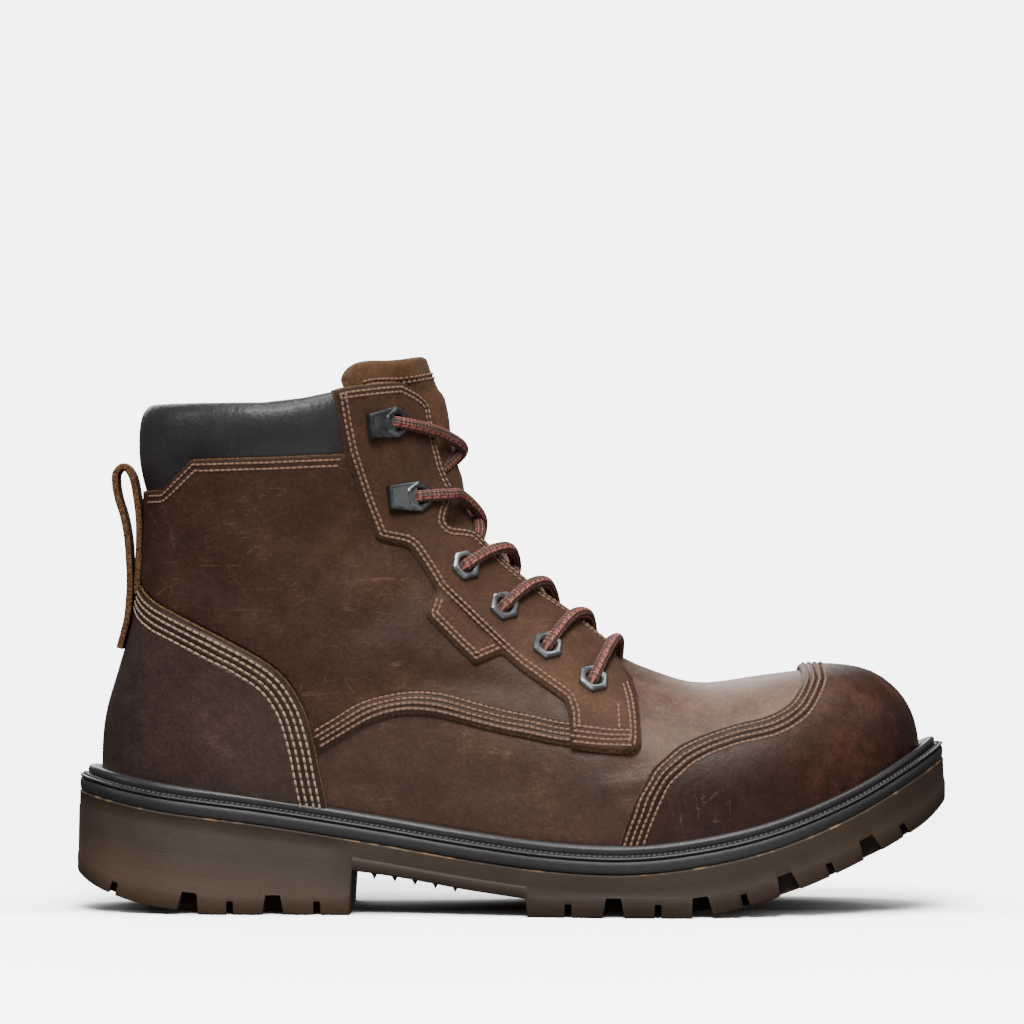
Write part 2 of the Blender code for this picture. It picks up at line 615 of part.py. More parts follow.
def tongue():
    """The padded tongue under the eyestays, crowned where it shows in the throat."""
    rows = np.arange(len(LAST))
    half = throat_half_width(rows)[:, None] - 1.0
    across = LAST[..., 1] - LAST[:, CREST, 1][:, None]
    crown = np.clip(1 - (across / half) ** 2, 0, None)
    crown[:, np.abs(np.arange(LAST.shape[1]) - CREST) > 12] = 0
    in_throat = np.interp(rows / SPAN_STEPS, (THROAT[0][0] + 0.2, THROAT[1][0] + 1.0), (0, 1))
    first = crest_row(5)
    pad = form("tongue", TONGUE_SEAT + TONGUE_BULGE * crown * in_throat[:, None], NUBUCK, first, 2)
    outline = [*TONGUE_BACK_EDGE, *TONGUE_TOP_EDGE, (48, 197)]
    cut(pad, side_prism("tongue_outline", outline, -90, 90), operation="INTERSECT")
    return cut(pad, form("tongue_inside", TONGUE_SEAT - TONGUE_PAD, None, first, 2))


def strap_ring(point, run, width, thickness):
    """Corners of a flat strip that runs along the x-z plane."""
    across = np.array([-run[1], run[0]]) * thickness / 2
    corners = ((-1, -1), (1, -1), (1, 1), (-1, 1))
    return [(point[0] + across[0] * b, a * width / 2, point[1] + across[1] * b) for a, b in corners]


def pull_loop():
    path = spline(LOOP_PATH, 2)
    runs = np.gradient(path, axis=0)
    runs /= np.linalg.norm(runs, axis=1)[:, None]
    rings = [strap_ring(p, run, LOOP_WIDTH, LOOP_THICKNESS) for p, run in zip(path, runs)]
    return loft("pull_loop", rings, OILED_LEATHER)


# Lace hardware and laces


def tangent_frame(normal, along):
    """Axes on a surface: along it, across it and off it."""
    off = normal / np.linalg.norm(normal)
    first = along - off * np.dot(along, off)
    first /= np.linalg.norm(first)
    return first, np.cross(off, first), off


EYESTAY_FACE = 2 * (GAP + PANEL) + 0.1  # outer face of the eyestay off the last
THROAT_RUN = np.array([0.62, 0, -0.78])  # direction of the eyelet row, down to the toe


def ring_points(centre, frame, radii, turn, lift):
    first, second, off = frame
    angles = turn + np.arange(len(radii)) * 2 * math.pi / len(radii)
    centre = centre + off * lift
    return [centre + r * (first * math.cos(a) + second * math.sin(a)) for r, a in zip(radii, angles)]


def drill(obj, centre, frame, radius):
    rings = [ring_points(centre, frame, [radius] * 6, 0, lift) for lift in (-6, 12)]
    return cut(obj, loft(obj.name + "_hole", rings))


def lace_hardware():
    for side, word in ((-1, "lateral"), (1, "medial")):
        for i, (x, z) in enumerate(EYELETS):
            point, normal = on_side(x, z, side)
            frame = tangent_frame(normal, THROAT_RUN)
            seat = EYESTAY_FACE + GAP + 0.15
            corner = EYELET_FLATS / 2 / math.cos(math.pi / 6)
            levels = ((corner, 0), (corner, EYELET_THICKNESS * 0.55), (corner - 0.9, EYELET_THICKNESS))
            rings = [ring_points(point, frame, [radius] * 6, 0, seat + lift) for radius, lift in levels]
            drill(loft(f"eyelet_{word}_{i + 1}", rings, GUNMETAL), point, frame, EYELET_HOLE)
        for i, (x, z, clearance) in enumerate(HOOKS):
            hook(f"hook_{word}_{i + 1}", x, z, clearance, side)


HOOK_OUTLINE = (  # along the hook from its lace hole, across it: a hexagon with a tapered tail
    (-5.0, -0.4), (-2.6, -5.0), (2.6, -5.6), (11.4, -3.9), (11.4, 3.9), (2.6, 5.6), (-2.6, 5.0), (-5.0, 0.4),
)


def hook(name, x, z, clearance, side):
    """A pressed lace hook: a hexagonal eye with a raised tapered tail."""
    point, normal = on_side(x, z, side)
    frame = tangent_frame(normal, np.array([-1.0, 0, -0.12]))
    seat = EYESTAY_FACE + GAP + clearance
    base, rise = 1.5, 3.2
    rings = []
    for inset, lift in ((1.0, 0), (1.0, base), (0.86, base + 0.4)):
        ring = []
        for along, across in HOOK_OUTLINE:
            tail = max(along, 0) / 11.4
            height = lift + (rise * tail if lift else 0)
            flat = frame[0] * along + frame[1] * across
            ring.append(point + flat * inset + frame[2] * (seat + height))
        rings.append(ring)
    return drill(loft(name, rings, GUNMETAL), point, frame, EYELET_HOLE)


def lace_strand(name, path, finish=None):
    """A round cord through the points."""
    path = spline(path, 2)
    runs = np.gradient(path, axis=0)
    rings = []
    for point, run in zip(path, runs):
        run /= np.linalg.norm(run)
        side = np.cross(run, (0.3, 0.1, 1.0))
        side /= np.linalg.norm(side)
        rings.append(ring_points(point, (side, np.cross(run, side), run), [LACE_RADIUS] * 6, 0, 0))
    return loft(name, rings, finish)


def row_of(point):
    """Fine row that passes nearest to a point of the last."""
    return int(np.linalg.norm(LAST[:, 2:-2] - point, axis=2).min(axis=1).argmin())


def laces():
    """A bar over the lowest eyelets, then crossings that fall to the hole below on the far side."""
    holes = EYELETS + tuple((x, z) for x, z, _ in HOOKS)
    rows = [row_of(on_side(x, z, -1)[0]) for x, z in holes]
    face = EYESTAY_FACE + GAP + LACE_RADIUS
    crown = TONGUE_SEAT + TONGUE_BULGE + GAP + LACE_RADIUS
    for i, (x, z) in enumerate(holes):
        below = max(i - 1, 0)
        middle = (rows[i] + rows[below]) / 2 if i else rows[0] - 1
        far = rows[below] * 0.75 + middle * 0.25
        ridge = LAST[int(middle), CREST, 1]
        top = on_crest(middle, ridge, crown + 0.5)
        paths = []
        for side in (-1, 1):
            hole, _ = on_side(x, z, side)
            row = row_of(hole)
            near = row * 0.7 + middle * 0.3
            start = on_crest(row, hole[1] - side * EYELET_FLATS * 0.85, face + 1.2)
            over = on_crest(near, ridge + side * throat_half_width(near), face + 1.0)
            end = on_crest(far, ridge - side * (throat_half_width(far) - LACE_RADIUS - 1.4), crown - 3)
            paths.append([start, over, top, end])
        if i == 0:
            bar = [paths[0][0], paths[0][1], paths[0][2], paths[1][1], paths[1][0]]
            lace_strand("lace_bar_1", bar, LACE_CORD)
            continue
        strand = lace_strand(f"lace_cross_{i + 1}", paths[0], LACE_CORD)
        cut(strand, lace_strand(f"lace_cross_{i + 1}_other", paths[1]), operation="UNION")


sole_layers()
upper()
overlays()
collar()
tongue()
pull_loop()
lace_hardware()
laces()
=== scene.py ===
"""Composite toe work boot for the right foot, put together from the sole up.

Sizes are in millimetres: +X runs to the toe, +Z up, and the outer side of the foot is -Y.
"""

import math

import bmesh
import bpy
import numpy as np
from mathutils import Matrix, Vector, geometry


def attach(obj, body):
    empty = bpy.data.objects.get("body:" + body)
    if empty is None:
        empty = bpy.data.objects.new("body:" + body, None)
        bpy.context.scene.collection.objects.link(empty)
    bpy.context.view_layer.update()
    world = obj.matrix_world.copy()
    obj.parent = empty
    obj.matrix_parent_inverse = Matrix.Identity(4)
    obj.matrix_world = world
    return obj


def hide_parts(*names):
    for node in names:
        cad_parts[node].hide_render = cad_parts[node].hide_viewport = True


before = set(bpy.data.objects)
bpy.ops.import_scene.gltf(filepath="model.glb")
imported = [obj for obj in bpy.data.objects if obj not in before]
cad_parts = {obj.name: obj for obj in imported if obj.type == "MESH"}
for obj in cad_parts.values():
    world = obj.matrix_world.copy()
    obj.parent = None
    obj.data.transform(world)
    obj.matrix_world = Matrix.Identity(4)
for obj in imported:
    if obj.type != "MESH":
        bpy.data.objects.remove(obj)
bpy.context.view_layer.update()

# Outsole. One moulding of gum rubber: a heel block, a raised arch and a lugged forefoot that springs up at the
# toe. The side wall has fine ribs along it, a ledge round the heel and a line of flash under the midsole.
LENGTH = 310.0
SOLE_DEPTH = 10.2  # top of the outsole below the welt's top
OUTLINE = (
    (-155, 0, 0), (-147, -22, 22), (-130, -34, 34), (-105, -38.5, 38), (-75, -39, 36.5), (-45, -40.5, 34),
    (-15, -45, 36.5), (15, -52, 44.5), (45, -56, 52), (75, -55.5, 54.5), (105, -49.5, 51.5), (130, -37, 42.5),
    (147, -18, 27), (155, 5, 5),
)
FEATHER = (
    (-155, 52.5), (-126, 46.5), (-88, 41.5), (-50, 35.5), (-17, 30), (12, 26.3), (40, 25.2), (66, 28), (92, 34),
    (118, 44), (140, 55.5), (155, 64),
)
TREAD = (
    ((-155, 13), (-149, 9.5), (-140, 6), (-126, 2.6), (-112, 0.7), (-104, 0), (-85, 0), (-57, 0)),
    ((-56, 15.5), (-38, 13), (-16, 9.2), (4.5, 6.4)),
    ((5.5, 0), (25, 0), (45, 0), (62, 0)),
    ((72, 1.4), (84, 4.4), (96, 8.2), (110, 13.4), (124, 19.6), (137, 26), (147, 31.5), (155, 38)),
)
LUG_GAPS = (-113.8, -83.7, 35.2, 66.2, 96.8, 126.6)
LUG_SLITS = (-141, -98.8, -68.3, 19.4, 50.6, 81.5, 112, 139)
ARCH_RIBS = (-48.5, -41.3, -34.2, -27, -20)
LUG_GAP, LUG_SLIT = (5.2, 7.0, 5.2, 27.0), (2.2, 4.8, 1.5, 13.0)  # width, depth, half the mouth, reach inwards
TOE_CUTS, TOE_REACH = 90, 6.0  # ahead of this x the cuts are shallow
CHANNELS = ((-128, -50), (0, 122))  # from and to x, along the heel and the forefoot
CHANNEL_INSET, CHANNEL_WIDTH, CHANNEL_DEPTH = 25.0, 4.5, 5.0
ARCH_FROM, ARCH_TO = -57, 6


def spline(rows, steps, closed=False):
    """Points on a smooth curve through the rows, with that many steps between two of them."""
    rows = np.asarray(rows, float)
    if closed:
        padded = np.vstack([rows[-1:], rows, rows[:2]])
    else:
        padded = np.vstack([2 * rows[0] - rows[1], rows, 2 * rows[-1] - rows[-2]])
    t = np.arange(steps)[:, None] / steps
    found = []
    for a, b, c, d in zip(padded, padded[1:], padded[2:], padded[3:]):
        bend, twist = 2 * a - 5 * b + 4 * c - d, 3 * b - a - 3 * c + d
        found.append(0.5 * (2 * b + (c - a) * t + bend * t**2 + twist * t**3))
    if not closed:
        found.append(rows[-1:])
    return np.vstack(found)


RIM = spline([(x, y) for x, y, _ in OUTLINE] + [(x, y) for x, _, y in OUTLINE[-2:0:-1]], 16, closed=True)
CENTRE = np.array([0, (RIM[:, 1].min() + RIM[:, 1].max()) / 2, 0])
FEATHER_CURVE = spline(FEATHER, 12)
TREAD_CURVE = np.vstack([spline(part, 4) for part in TREAD])


def feather(x):
    """Height of the welt's top at x."""
    return np.interp(x, FEATHER_CURVE[:, 0], FEATHER_CURVE[:, 1])


def tread(x):
    """Height of the tread at x."""
    return np.maximum(np.interp(x, TREAD_CURVE[:, 0], TREAD_CURVE[:, 1]), 0)


def rim_inset(inset):
    """Lateral and medial edge of the sole's outline moved inwards, each as points in order of x."""
    run = np.roll(RIM, -1, axis=0) - np.roll(RIM, 1, axis=0)
    inward = np.stack([-run[:, 1], run[:, 0]], axis=1) / np.linalg.norm(run, axis=1)[:, None]
    moved = RIM + inward * np.reshape(inset(RIM[:, 0]) if callable(inset) else inset, (-1, 1))
    heel, toe = moved[:, 0].argmin(), moved[:, 0].argmax()
    lateral = np.roll(moved, -heel, axis=0)[: (toe - heel) % len(moved) + 1]
    medial = np.roll(moved, -toe, axis=0)[: (heel - toe) % len(moved) + 1][::-1]
    return lateral, medial


def rim_y(edges, x):
    """Lateral and medial y of such edges at x."""
    return tuple(np.interp(x, edge[:, 0], edge[:, 1]) for edge in edges)


def linear(hex_colour):
    """An sRGB colour as the linear values that a shader takes."""
    srgb = [int(hex_colour[i : i + 2], 16) / 255 for i in (0, 2, 4)]
    return (*[c / 12.92 if c <= 0.04045 else ((c + 0.055) / 1.055) ** 2.4 for c in srgb], 1)


def add(tree, kind, inputs=None, **settings):
    """Adds a shader node with its settings; inputs are values or other nodes' sockets. Returns its outputs."""
    made = tree.nodes.new("ShaderNode" + kind)
    for key, value in settings.items():
        setattr(made, key, value)
    for key, value in (inputs or {}).items():
        if isinstance(value, bpy.types.NodeSocket):
            tree.links.new(value, made.inputs[key])
        else:
            made.inputs[key].default_value = value
    return made.outputs


def noise(tree, where, scale, detail, fuzz=0.5, **inputs):
    """Cloudy noise with about that many spots to the metre."""
    return add(tree, "TexNoise", {"Vector": where, "Scale": scale, "Detail": detail, "Roughness": fuzz, **inputs})[0]


def maths(tree, operation, *values):
    """One step of arithmetic on sockets and numbers."""
    return add(tree, "Math", dict(enumerate(values)), operation=operation)[0]


def ramp(tree, value, low, high, start=0.0, end=1.0, **settings):
    """A value that goes from start to end as another goes from low to high, and stays there."""
    return add(tree, "MapRange", {0: value, 1: low, 2: high, 3: start, 4: end}, **settings)[0]


def mix(tree, share, first, second, **settings):
    """Two colours, as hex or sockets, mixed by a share."""
    first, second = (linear(c) if isinstance(c, str) else c for c in (first, second))
    return add(tree, "Mix", {0: share, 6: first, 7: second}, data_type="RGBA", **settings)[2]


def new_material(name, roughness, **values):
    """A material with its tree, its shader and its places in metres. values are the shader's other sockets."""
    made = bpy.data.materials.new(name)
    made.use_nodes = True
    shader = made.node_tree.nodes["Principled BSDF"]
    for key, value in {"Roughness": roughness, **values}.items():
        shader.inputs[key.replace("_", " ")].default_value = value
    return made, made.node_tree, shader, add(made.node_tree, "TexCoord")["Object"]


def flecked(name, roughness, dark, light, scale, detail, fuzz=0.5, **values):
    """A material of two colours that run into each other by noise. Returns that noise too."""
    made, tree, shader, where = new_material(name, roughness, **values)
    flecks = noise(tree, where, scale, detail, fuzz)
    tree.links.new(mix(tree, flecks, dark, light), shader.inputs["Base Color"])
    return made, tree, shader, where, flecks


def bump(tree, shader, *layers):
    """Raises the surface by layers of (height socket, depth in metres)."""
    normal = None
    for height, depth in layers:
        inputs = {"Height": height, "Distance": depth, "Strength": 1.0}
        if normal:
            inputs["Normal"] = normal
        normal = add(tree, "Bump", inputs)[0]
    tree.links.new(normal, shader.inputs["Normal"])


def new_mesh(name, points, faces, outward=True):
    """A mesh of points in millimetres, turned to face outwards."""
    mesh = bpy.data.meshes.new(name)
    mesh.from_pydata(((np.asarray(points, float) - CENTRE) * 0.001).tolist(), [], [list(map(int, f)) for f in faces])
    if outward:
        bm = bmesh.new()
        bm.from_mesh(mesh)
        bmesh.ops.remove_doubles(bm, verts=bm.verts, dist=0.00002)
        bmesh.ops.triangulate(bm, faces=[f for f in bm.faces if len(f.verts) > 4])
        bmesh.ops.dissolve_degenerate(bm, dist=0.000005, edges=bm.edges)
        bmesh.ops.recalc_face_normals(bm, faces=bm.faces)
        bm.to_mesh(mesh)
        bm.free()
    return mesh


def piece(name, points, faces, finish, nodes=(), slot=None, marks=None, sharp=40, outward=True):
    """A mesh that rides with the boot and stands for CAD nodes. marks are values at its points."""
    mesh = new_mesh(name, points, faces, outward and not marks)
    for key, values in (marks or {}).items():
        mesh.attributes.new(key, "FLOAT", "POINT").data.foreach_set("value", np.asarray(values, np.float32))
    mesh.shade_smooth()
    mesh.set_sharp_from_angle(angle=math.radians(sharp))
    for one in finish if isinstance(finish, (list, tuple)) else [finish]:
        mesh.materials.append(one)
    obj = bpy.data.objects.new(name, mesh)
    bpy.context.scene.collection.objects.link(obj)
    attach(obj, "root")
    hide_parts(*nodes)
    return obj


def tube(rings, looped=False):
    """Points and faces of a skin through rings of points, closed at both ends or looped."""
    rings = np.asarray(rings, float)
    rows, count = rings.shape[:2]
    faces = []
    for i in range(rows if looped else rows - 1):
        low, high = i * count, (i + 1) % rows * count
        faces += [(low + j, low + (j + 1) % count, high + (j + 1) % count, high + j) for j in range(count)]
    if not looped:
        faces += [tuple(range(count))[::-1], tuple(range((rows - 1) * count, rows * count))]
    return rings.reshape(-1, 3), faces


TURN = np.linspace(0, math.pi, 150)  # sections lie closer towards the heel and the toe
SOLE_X = np.unique(np.concatenate([-LENGTH / 2 * np.cos(TURN), TREAD_CURVE[:, 0]]))


def sole_rings(levels):
    """Cross sections of a sole layer from levels of (inset, heights along the sole), bottom first."""
    sides = []
    for inset, height in levels:
        edges = rim_inset(inset)
        x = SOLE_X * edges[0][-1, 0] / (LENGTH / 2)
        z = height(x) if callable(height) else height
        sides.append([np.stack([x, y, z], axis=1) for y in rim_y(edges, x)])
    return np.stack([s[0] for s in sides] + [s[1] for s in sides[::-1]], axis=1)


def below(drop):
    """Heights that far below the welt's top."""
    return lambda x: feather(x) - drop


def cut_mesh(obj, cutters):
    """Cuts solids of (points, faces, operation) into an object and keeps the result."""
    made = []
    for points, faces, operation in cutters:
        cutter = bpy.data.objects.new("cutter", new_mesh("cutter", points, faces))
        bpy.context.scene.collection.objects.link(cutter)
        modifier = obj.modifiers.new("cut", "BOOLEAN")
        modifier.operation, modifier.object = operation, cutter
        made.append(cutter)
    seen = obj.evaluated_get(bpy.context.evaluated_depsgraph_get())
    mesh = bpy.data.meshes.new_from_object(seen)
    bm = bmesh.new()
    bm.from_mesh(mesh)
    # Thin flaps that the cuts leave standing come off
    for _ in range(3):
        flaps = [f for f in bm.faces if any(e.is_boundary for e in f.edges)]
        bmesh.ops.delete(bm, geom=flaps, context="FACES")
    bm.to_mesh(mesh)
    bm.free()
    obj.modifiers.clear()
    obj.data = mesh
    for cutter in made:
        bpy.data.objects.remove(cutter)


def gum_rubber():
    """Dull brown rubber, streaked along the mould, paler and faintly amber at the thin lug edges."""
    made, tree, shader, where = new_material(
        "gum_rubber_moulded", 0.58, Specular_IOR_Level=0.25, Subsurface_Weight=0.08,
        Subsurface_Radius=(0.004, 0.002, 0.001))
    level = add(tree, "Attribute", attribute_name="level")["Fac"]
    place_x, place_y, _ = add(tree, "SeparateXYZ", {0: where})
    drawn = [maths(tree, "MULTIPLY", *pair) for pair in ((place_x, 22.0), (place_y, 22.0), (level, 2.3))]
    ribs = noise(tree, add(tree, "CombineXYZ", dict(enumerate(drawn)))[0], 1.0, 3.0, 0.6)
    cloud = noise(tree, where, 60.0, 4.0)
    shade = maths(tree, "MULTIPLY_ADD", cloud, 0.5, ramp(tree, level, 12.0, 24.0, 0.0, 0.55))
    body = mix(tree, shade, "2f251d", "4e3d2f")
    body = mix(tree, 1.0, body, ramp(tree, ribs, 0.36, 0.66, 0.96, 1.02), blend_type="MULTIPLY")
    broken = ramp(tree, noise(tree, where, 120.0, 2.0), 0.54, 0.64, 0.0, 0.7)
    flash = maths(tree, "MULTIPLY", ramp(tree, level, 0.55, 0.3), broken)
    tree.links.new(mix(tree, flash, body, "8a6f50"), shader.inputs["Base Color"])
    bump(tree, shader, (ribs, 0.00006), (cloud, 0.00015))
    return made


def ledge_inset(inset):
    """Inset of the ledge, a little deeper round the heel block."""
    return lambda x: inset + np.interp(x, (-64, -54), (0.2, 0))


top_z = feather(SOLE_X) - SOLE_DEPTH
low_z = tread(SOLE_X)
ledge = np.maximum(top_z - 5.5, low_z + 2.4)
lug_top = np.minimum(low_z + 7.2, ledge - 0.9)
wall_levels = (
    (0.9, low_z), (0.25, low_z + 0.35), (0, low_z + 1.0), (0, lug_top - 0.5), (0.25, lug_top),
    (0.55, ledge - 0.5), (ledge_inset(0.6), ledge), (ledge_inset(0.7), np.maximum(top_z - 1.0, ledge + 0.3)),
    (0.75, np.maximum(top_z - 0.6, ledge + 0.6)), (1.3, top_z - 0.1), (3.0, top_z),
)
outsole = piece("rubber_outsole", *tube(sole_rings(wall_levels)), gum_rubber(), ["outsole"], "outsole_rubber")

cutters = []
sole_edges = rim_inset(0)
for at in LUG_GAPS + LUG_SLITS:
    slope = math.atan2(tread(at + 3) - tread(at - 3), 6)
    run = np.array([math.cos(slope), 0, math.sin(slope)])
    rise = np.array([-run[2], 0, run[0]])
    foot = np.array([at, 0, tread(at)])
    wide, deep, mouth, reach = LUG_GAP if at in LUG_GAPS else LUG_SLIT
    corners = [foot + run * a + rise * b for a, b in (
        (-wide / 2, deep), (wide / 2, deep), (mouth, -deep), (-mouth, -deep))]
    lateral, medial = rim_y(sole_edges, at)
    reach = min(TOE_REACH if at > TOE_CUTS else reach, (medial - lateral) / 2 - 3)
    for y_from, y_to in ((-90, lateral + reach), (medial - reach, 90)):
        cutters.append((*tube([[c + (0, y, 0) for c in corners] for y in (y_from, y_to)]), "DIFFERENCE"))
for start, end in CHANNELS:
    for side, inward in enumerate((1, -1)):
        rings = []
        for at in np.linspace(start, end, 24):
            near = rim_y(sole_edges, at)[side] + inward * CHANNEL_INSET
            far = near + inward * CHANNEL_WIDTH
            top = CHANNEL_DEPTH + (0 if ARCH_FROM < at < ARCH_TO else tread(at))
            rings.append([(at, y, z) for y, z in ((near, -4), (far, -4), (far, top), (near, top))])
        cutters.append((*tube(rings), "DIFFERENCE"))
for at in ARCH_RIBS:
    top = tread(at)
    corners = ((at - 2.5, top + 2), (at + 2.5, top + 1.6), (at, top - 3))
    cutters.append((*tube([[(x, y, z) for x, z in corners] for y in (-24, 20)]), "UNION"))
cut_mesh(outsole, cutters)
places = np.array([v.co for v in outsole.data.vertices]) * 1000 + CENTRE
level = feather(places[:, 0]) - SOLE_DEPTH - places[:, 2]
outsole.data.attributes.new("level", "FLOAT", "POINT").data.foreach_set("value", level.astype(np.float32))
outsole.data.shade_smooth()
outsole.data.set_sharp_from_angle(angle=math.radians(28))

# Midsole and welt. A black rubber band runs round the boot between the outsole and the upper. Above it the
# welt has a sloped shelf, moulded as a row of close stitches, and a round glossy rib against the leather.
WELT_DROP, ROLL = 5.4, 4.2
UPPER_INSET, END_INSET = 8.5, 3.2  # from the sole's edge to the upper, and how much more at heel and toe


def black_rubber(name, roughness):
    """Near-black moulded rubber that takes a soft grey sheen from the light."""
    made, tree, shader, where, dust = flecked(
        name, roughness, "222122", "322f2f", 220.0, 5.0, 0.7, Specular_IOR_Level=0.35)
    bump(tree, shader, (noise(tree, where, 1800.0, 2.0), 0.00004), (dust, 0.0001))
    return made


def upper_reach(x):
    """Distance from the sole's edge to the upper."""
    return UPPER_INSET + END_INSET * (x / (LENGTH / 2)) ** 4


band_levels = (
    (3.0, below(SOLE_DEPTH - 0.1)), (1.5, below(SOLE_DEPTH - 0.15)), (1.1, below(SOLE_DEPTH - 0.6)),
    (0.95, below(7.6)), (1.1, below(6.0)), (1.5, below(WELT_DROP + 0.15)), (4.0, below(WELT_DROP + 0.1)),
)
piece("midsole_band", *tube(sole_rings(band_levels)), black_rubber("midsole_rubber", 0.45), ["midsole"],
      "midsole_rubber", sharp=60)

welt_levels = (
    (upper_reach, below(WELT_DROP)), (1.6, below(WELT_DROP)), (1.0, below(5.0)), (0.95, below(4.6)),
    (1.3, below(4.25)), (2.0, below(4.05)), (3.4, below(3.6)), (ROLL - 0.1, below(3.45)), (ROLL - 0.2, below(3.1)),
    (ROLL - 0.35, below(2.3)), (ROLL - 0.2, below(1.4)), (ROLL + 0.3, below(0.65)), (ROLL + 1.1, below(0.15)),
    (ROLL + 2.0, below(0.0)), (ROLL + 2.9, below(0.25)), (ROLL + 3.5, below(0.8)),
    (lambda x: upper_reach(x) - 0.1, below(1.4)), (lambda x: upper_reach(x) + 0.1, below(WELT_DROP - 0.2)),
)
rings = sole_rings(welt_levels)
half = len(welt_levels)
loops = np.concatenate([rings[:, :half], rings[-2:0:-1, half:][:, ::-1]])
piece("welt_rib", *tube(loops, looped=True), black_rubber("welt_rubber", 0.36), ["welt"], "welt_rubber", sharp=70)


def even(line, pitch, start=0.0):
    """Points at an even pitch along a line, with how far along it its own points and the new ones lie."""
    along = np.concatenate([[0], np.cumsum(np.linalg.norm(np.diff(line, axis=0), axis=1))])
    at = np.arange(start, along[-1], pitch)
    return np.stack([np.interp(at, along, values) for values in line.T], axis=1), along, at


def join(skins):
    """Points and faces of several skins as one."""
    points, faces = [], []
    for more, skin in skins:
        first = len(points)
        points += list(more)
        faces += [tuple(k + first for k in f) for f in skin]
    return points, faces


def stitches(name, lines, finish, pitch=2.1, length=2.15, radius=0.47, slot=None, slant=0.0):
    """Threads sunk at both ends along lines of (points, normals)."""
    # Along each thread: share of its length, share of its radius, lift in radii
    bead = ((-0.5, 0.2, -0.5), (-0.4, 0.8, 0.05), (0.0, 1.0, 0.5), (0.4, 0.8, 0.05), (0.5, 0.2, -0.5))
    angles = np.arange(6) * math.pi / 3
    threads = []
    for number, (line, normals) in enumerate(lines):
        middles, along, at = even(line, pitch, pitch * (0.5 if number % 2 else 0.0) + 0.2)
        offs = np.stack([np.interp(at, along, values) for values in normals.T], axis=1)
        runs = np.gradient(middles, axis=0) if len(middles) > 1 else np.array([line[-1] - line[0]])
        for middle, off, run in zip(middles, offs, runs):
            off = off / np.linalg.norm(off)
            run = run - off * np.dot(run, off)
            run /= np.linalg.norm(run)
            across = np.cross(off, run)
            turned = run * math.cos(slant) + across * math.sin(slant)
            across = across * math.cos(slant) - run * math.sin(slant)
            rings = []
            for share, wide, lift in bead:
                centre = middle + turned * share * length + off * lift * radius
                rings.append([
                    centre + radius * wide * (across * math.cos(a) + off * 0.65 * math.sin(a)) for a in angles])
            threads.append(tube(rings))
    return piece(name, *join(threads), finish, slot=slot, sharp=80, outward=False)


def shelf_thread():
    """Dark grey thread with a waxy sheen."""
    return flecked("waxed_welt_thread", 0.5, "1a1919", "403c3a", 700.0, 2.0)[0]


shelf = sole_rings(((2.45, below(3.95)),))
line = np.vstack([shelf[:, 0], shelf[-2:0:-1, 1], shelf[:1, 0]])
outward = np.gradient(line, axis=0)
outward = np.stack([outward[:, 1], -outward[:, 0], 2.6 * np.hypot(outward[:, 0], outward[:, 1])], axis=1)
stitches("welt_stitching", [(line, outward)], shelf_thread(), 1.9, 2.1, 0.52, "welt_rubber", 0.45)

# Footbed. A felt-covered insole lies inside the upper on the midsole, a little hollowed towards the middle. It is seen
# only from above, down through the collar.
FOOTBED_GAP = 2.9  # between its side and the upper's face


def felt():
    """Dull grey-brown felt with a loose nap."""
    made, tree, shader, _, nap = flecked(
        "footbed_felt", 0.95, "4b453f", "7d746a", 900.0, 6.0, 0.75, Sheen_Weight=0.3)
    bump(tree, shader, (nap, 0.0004))
    return made


def footbed_reach(inwards=0.0):
    """Distance from the sole's edge to the footbed's side, or that much further in."""
    return lambda x: upper_reach(x) + FOOTBED_GAP + inwards


bed_levels = (
    (footbed_reach(), below(5.1)), (footbed_reach(), below(1.9)), (footbed_reach(1.2), below(1.5)),
    (footbed_reach(12), below(2.6)),
)
piece("footbed", *tube(sole_rings(bed_levels)), felt(), ["insole"], "footbed_cloth", sharp=60)

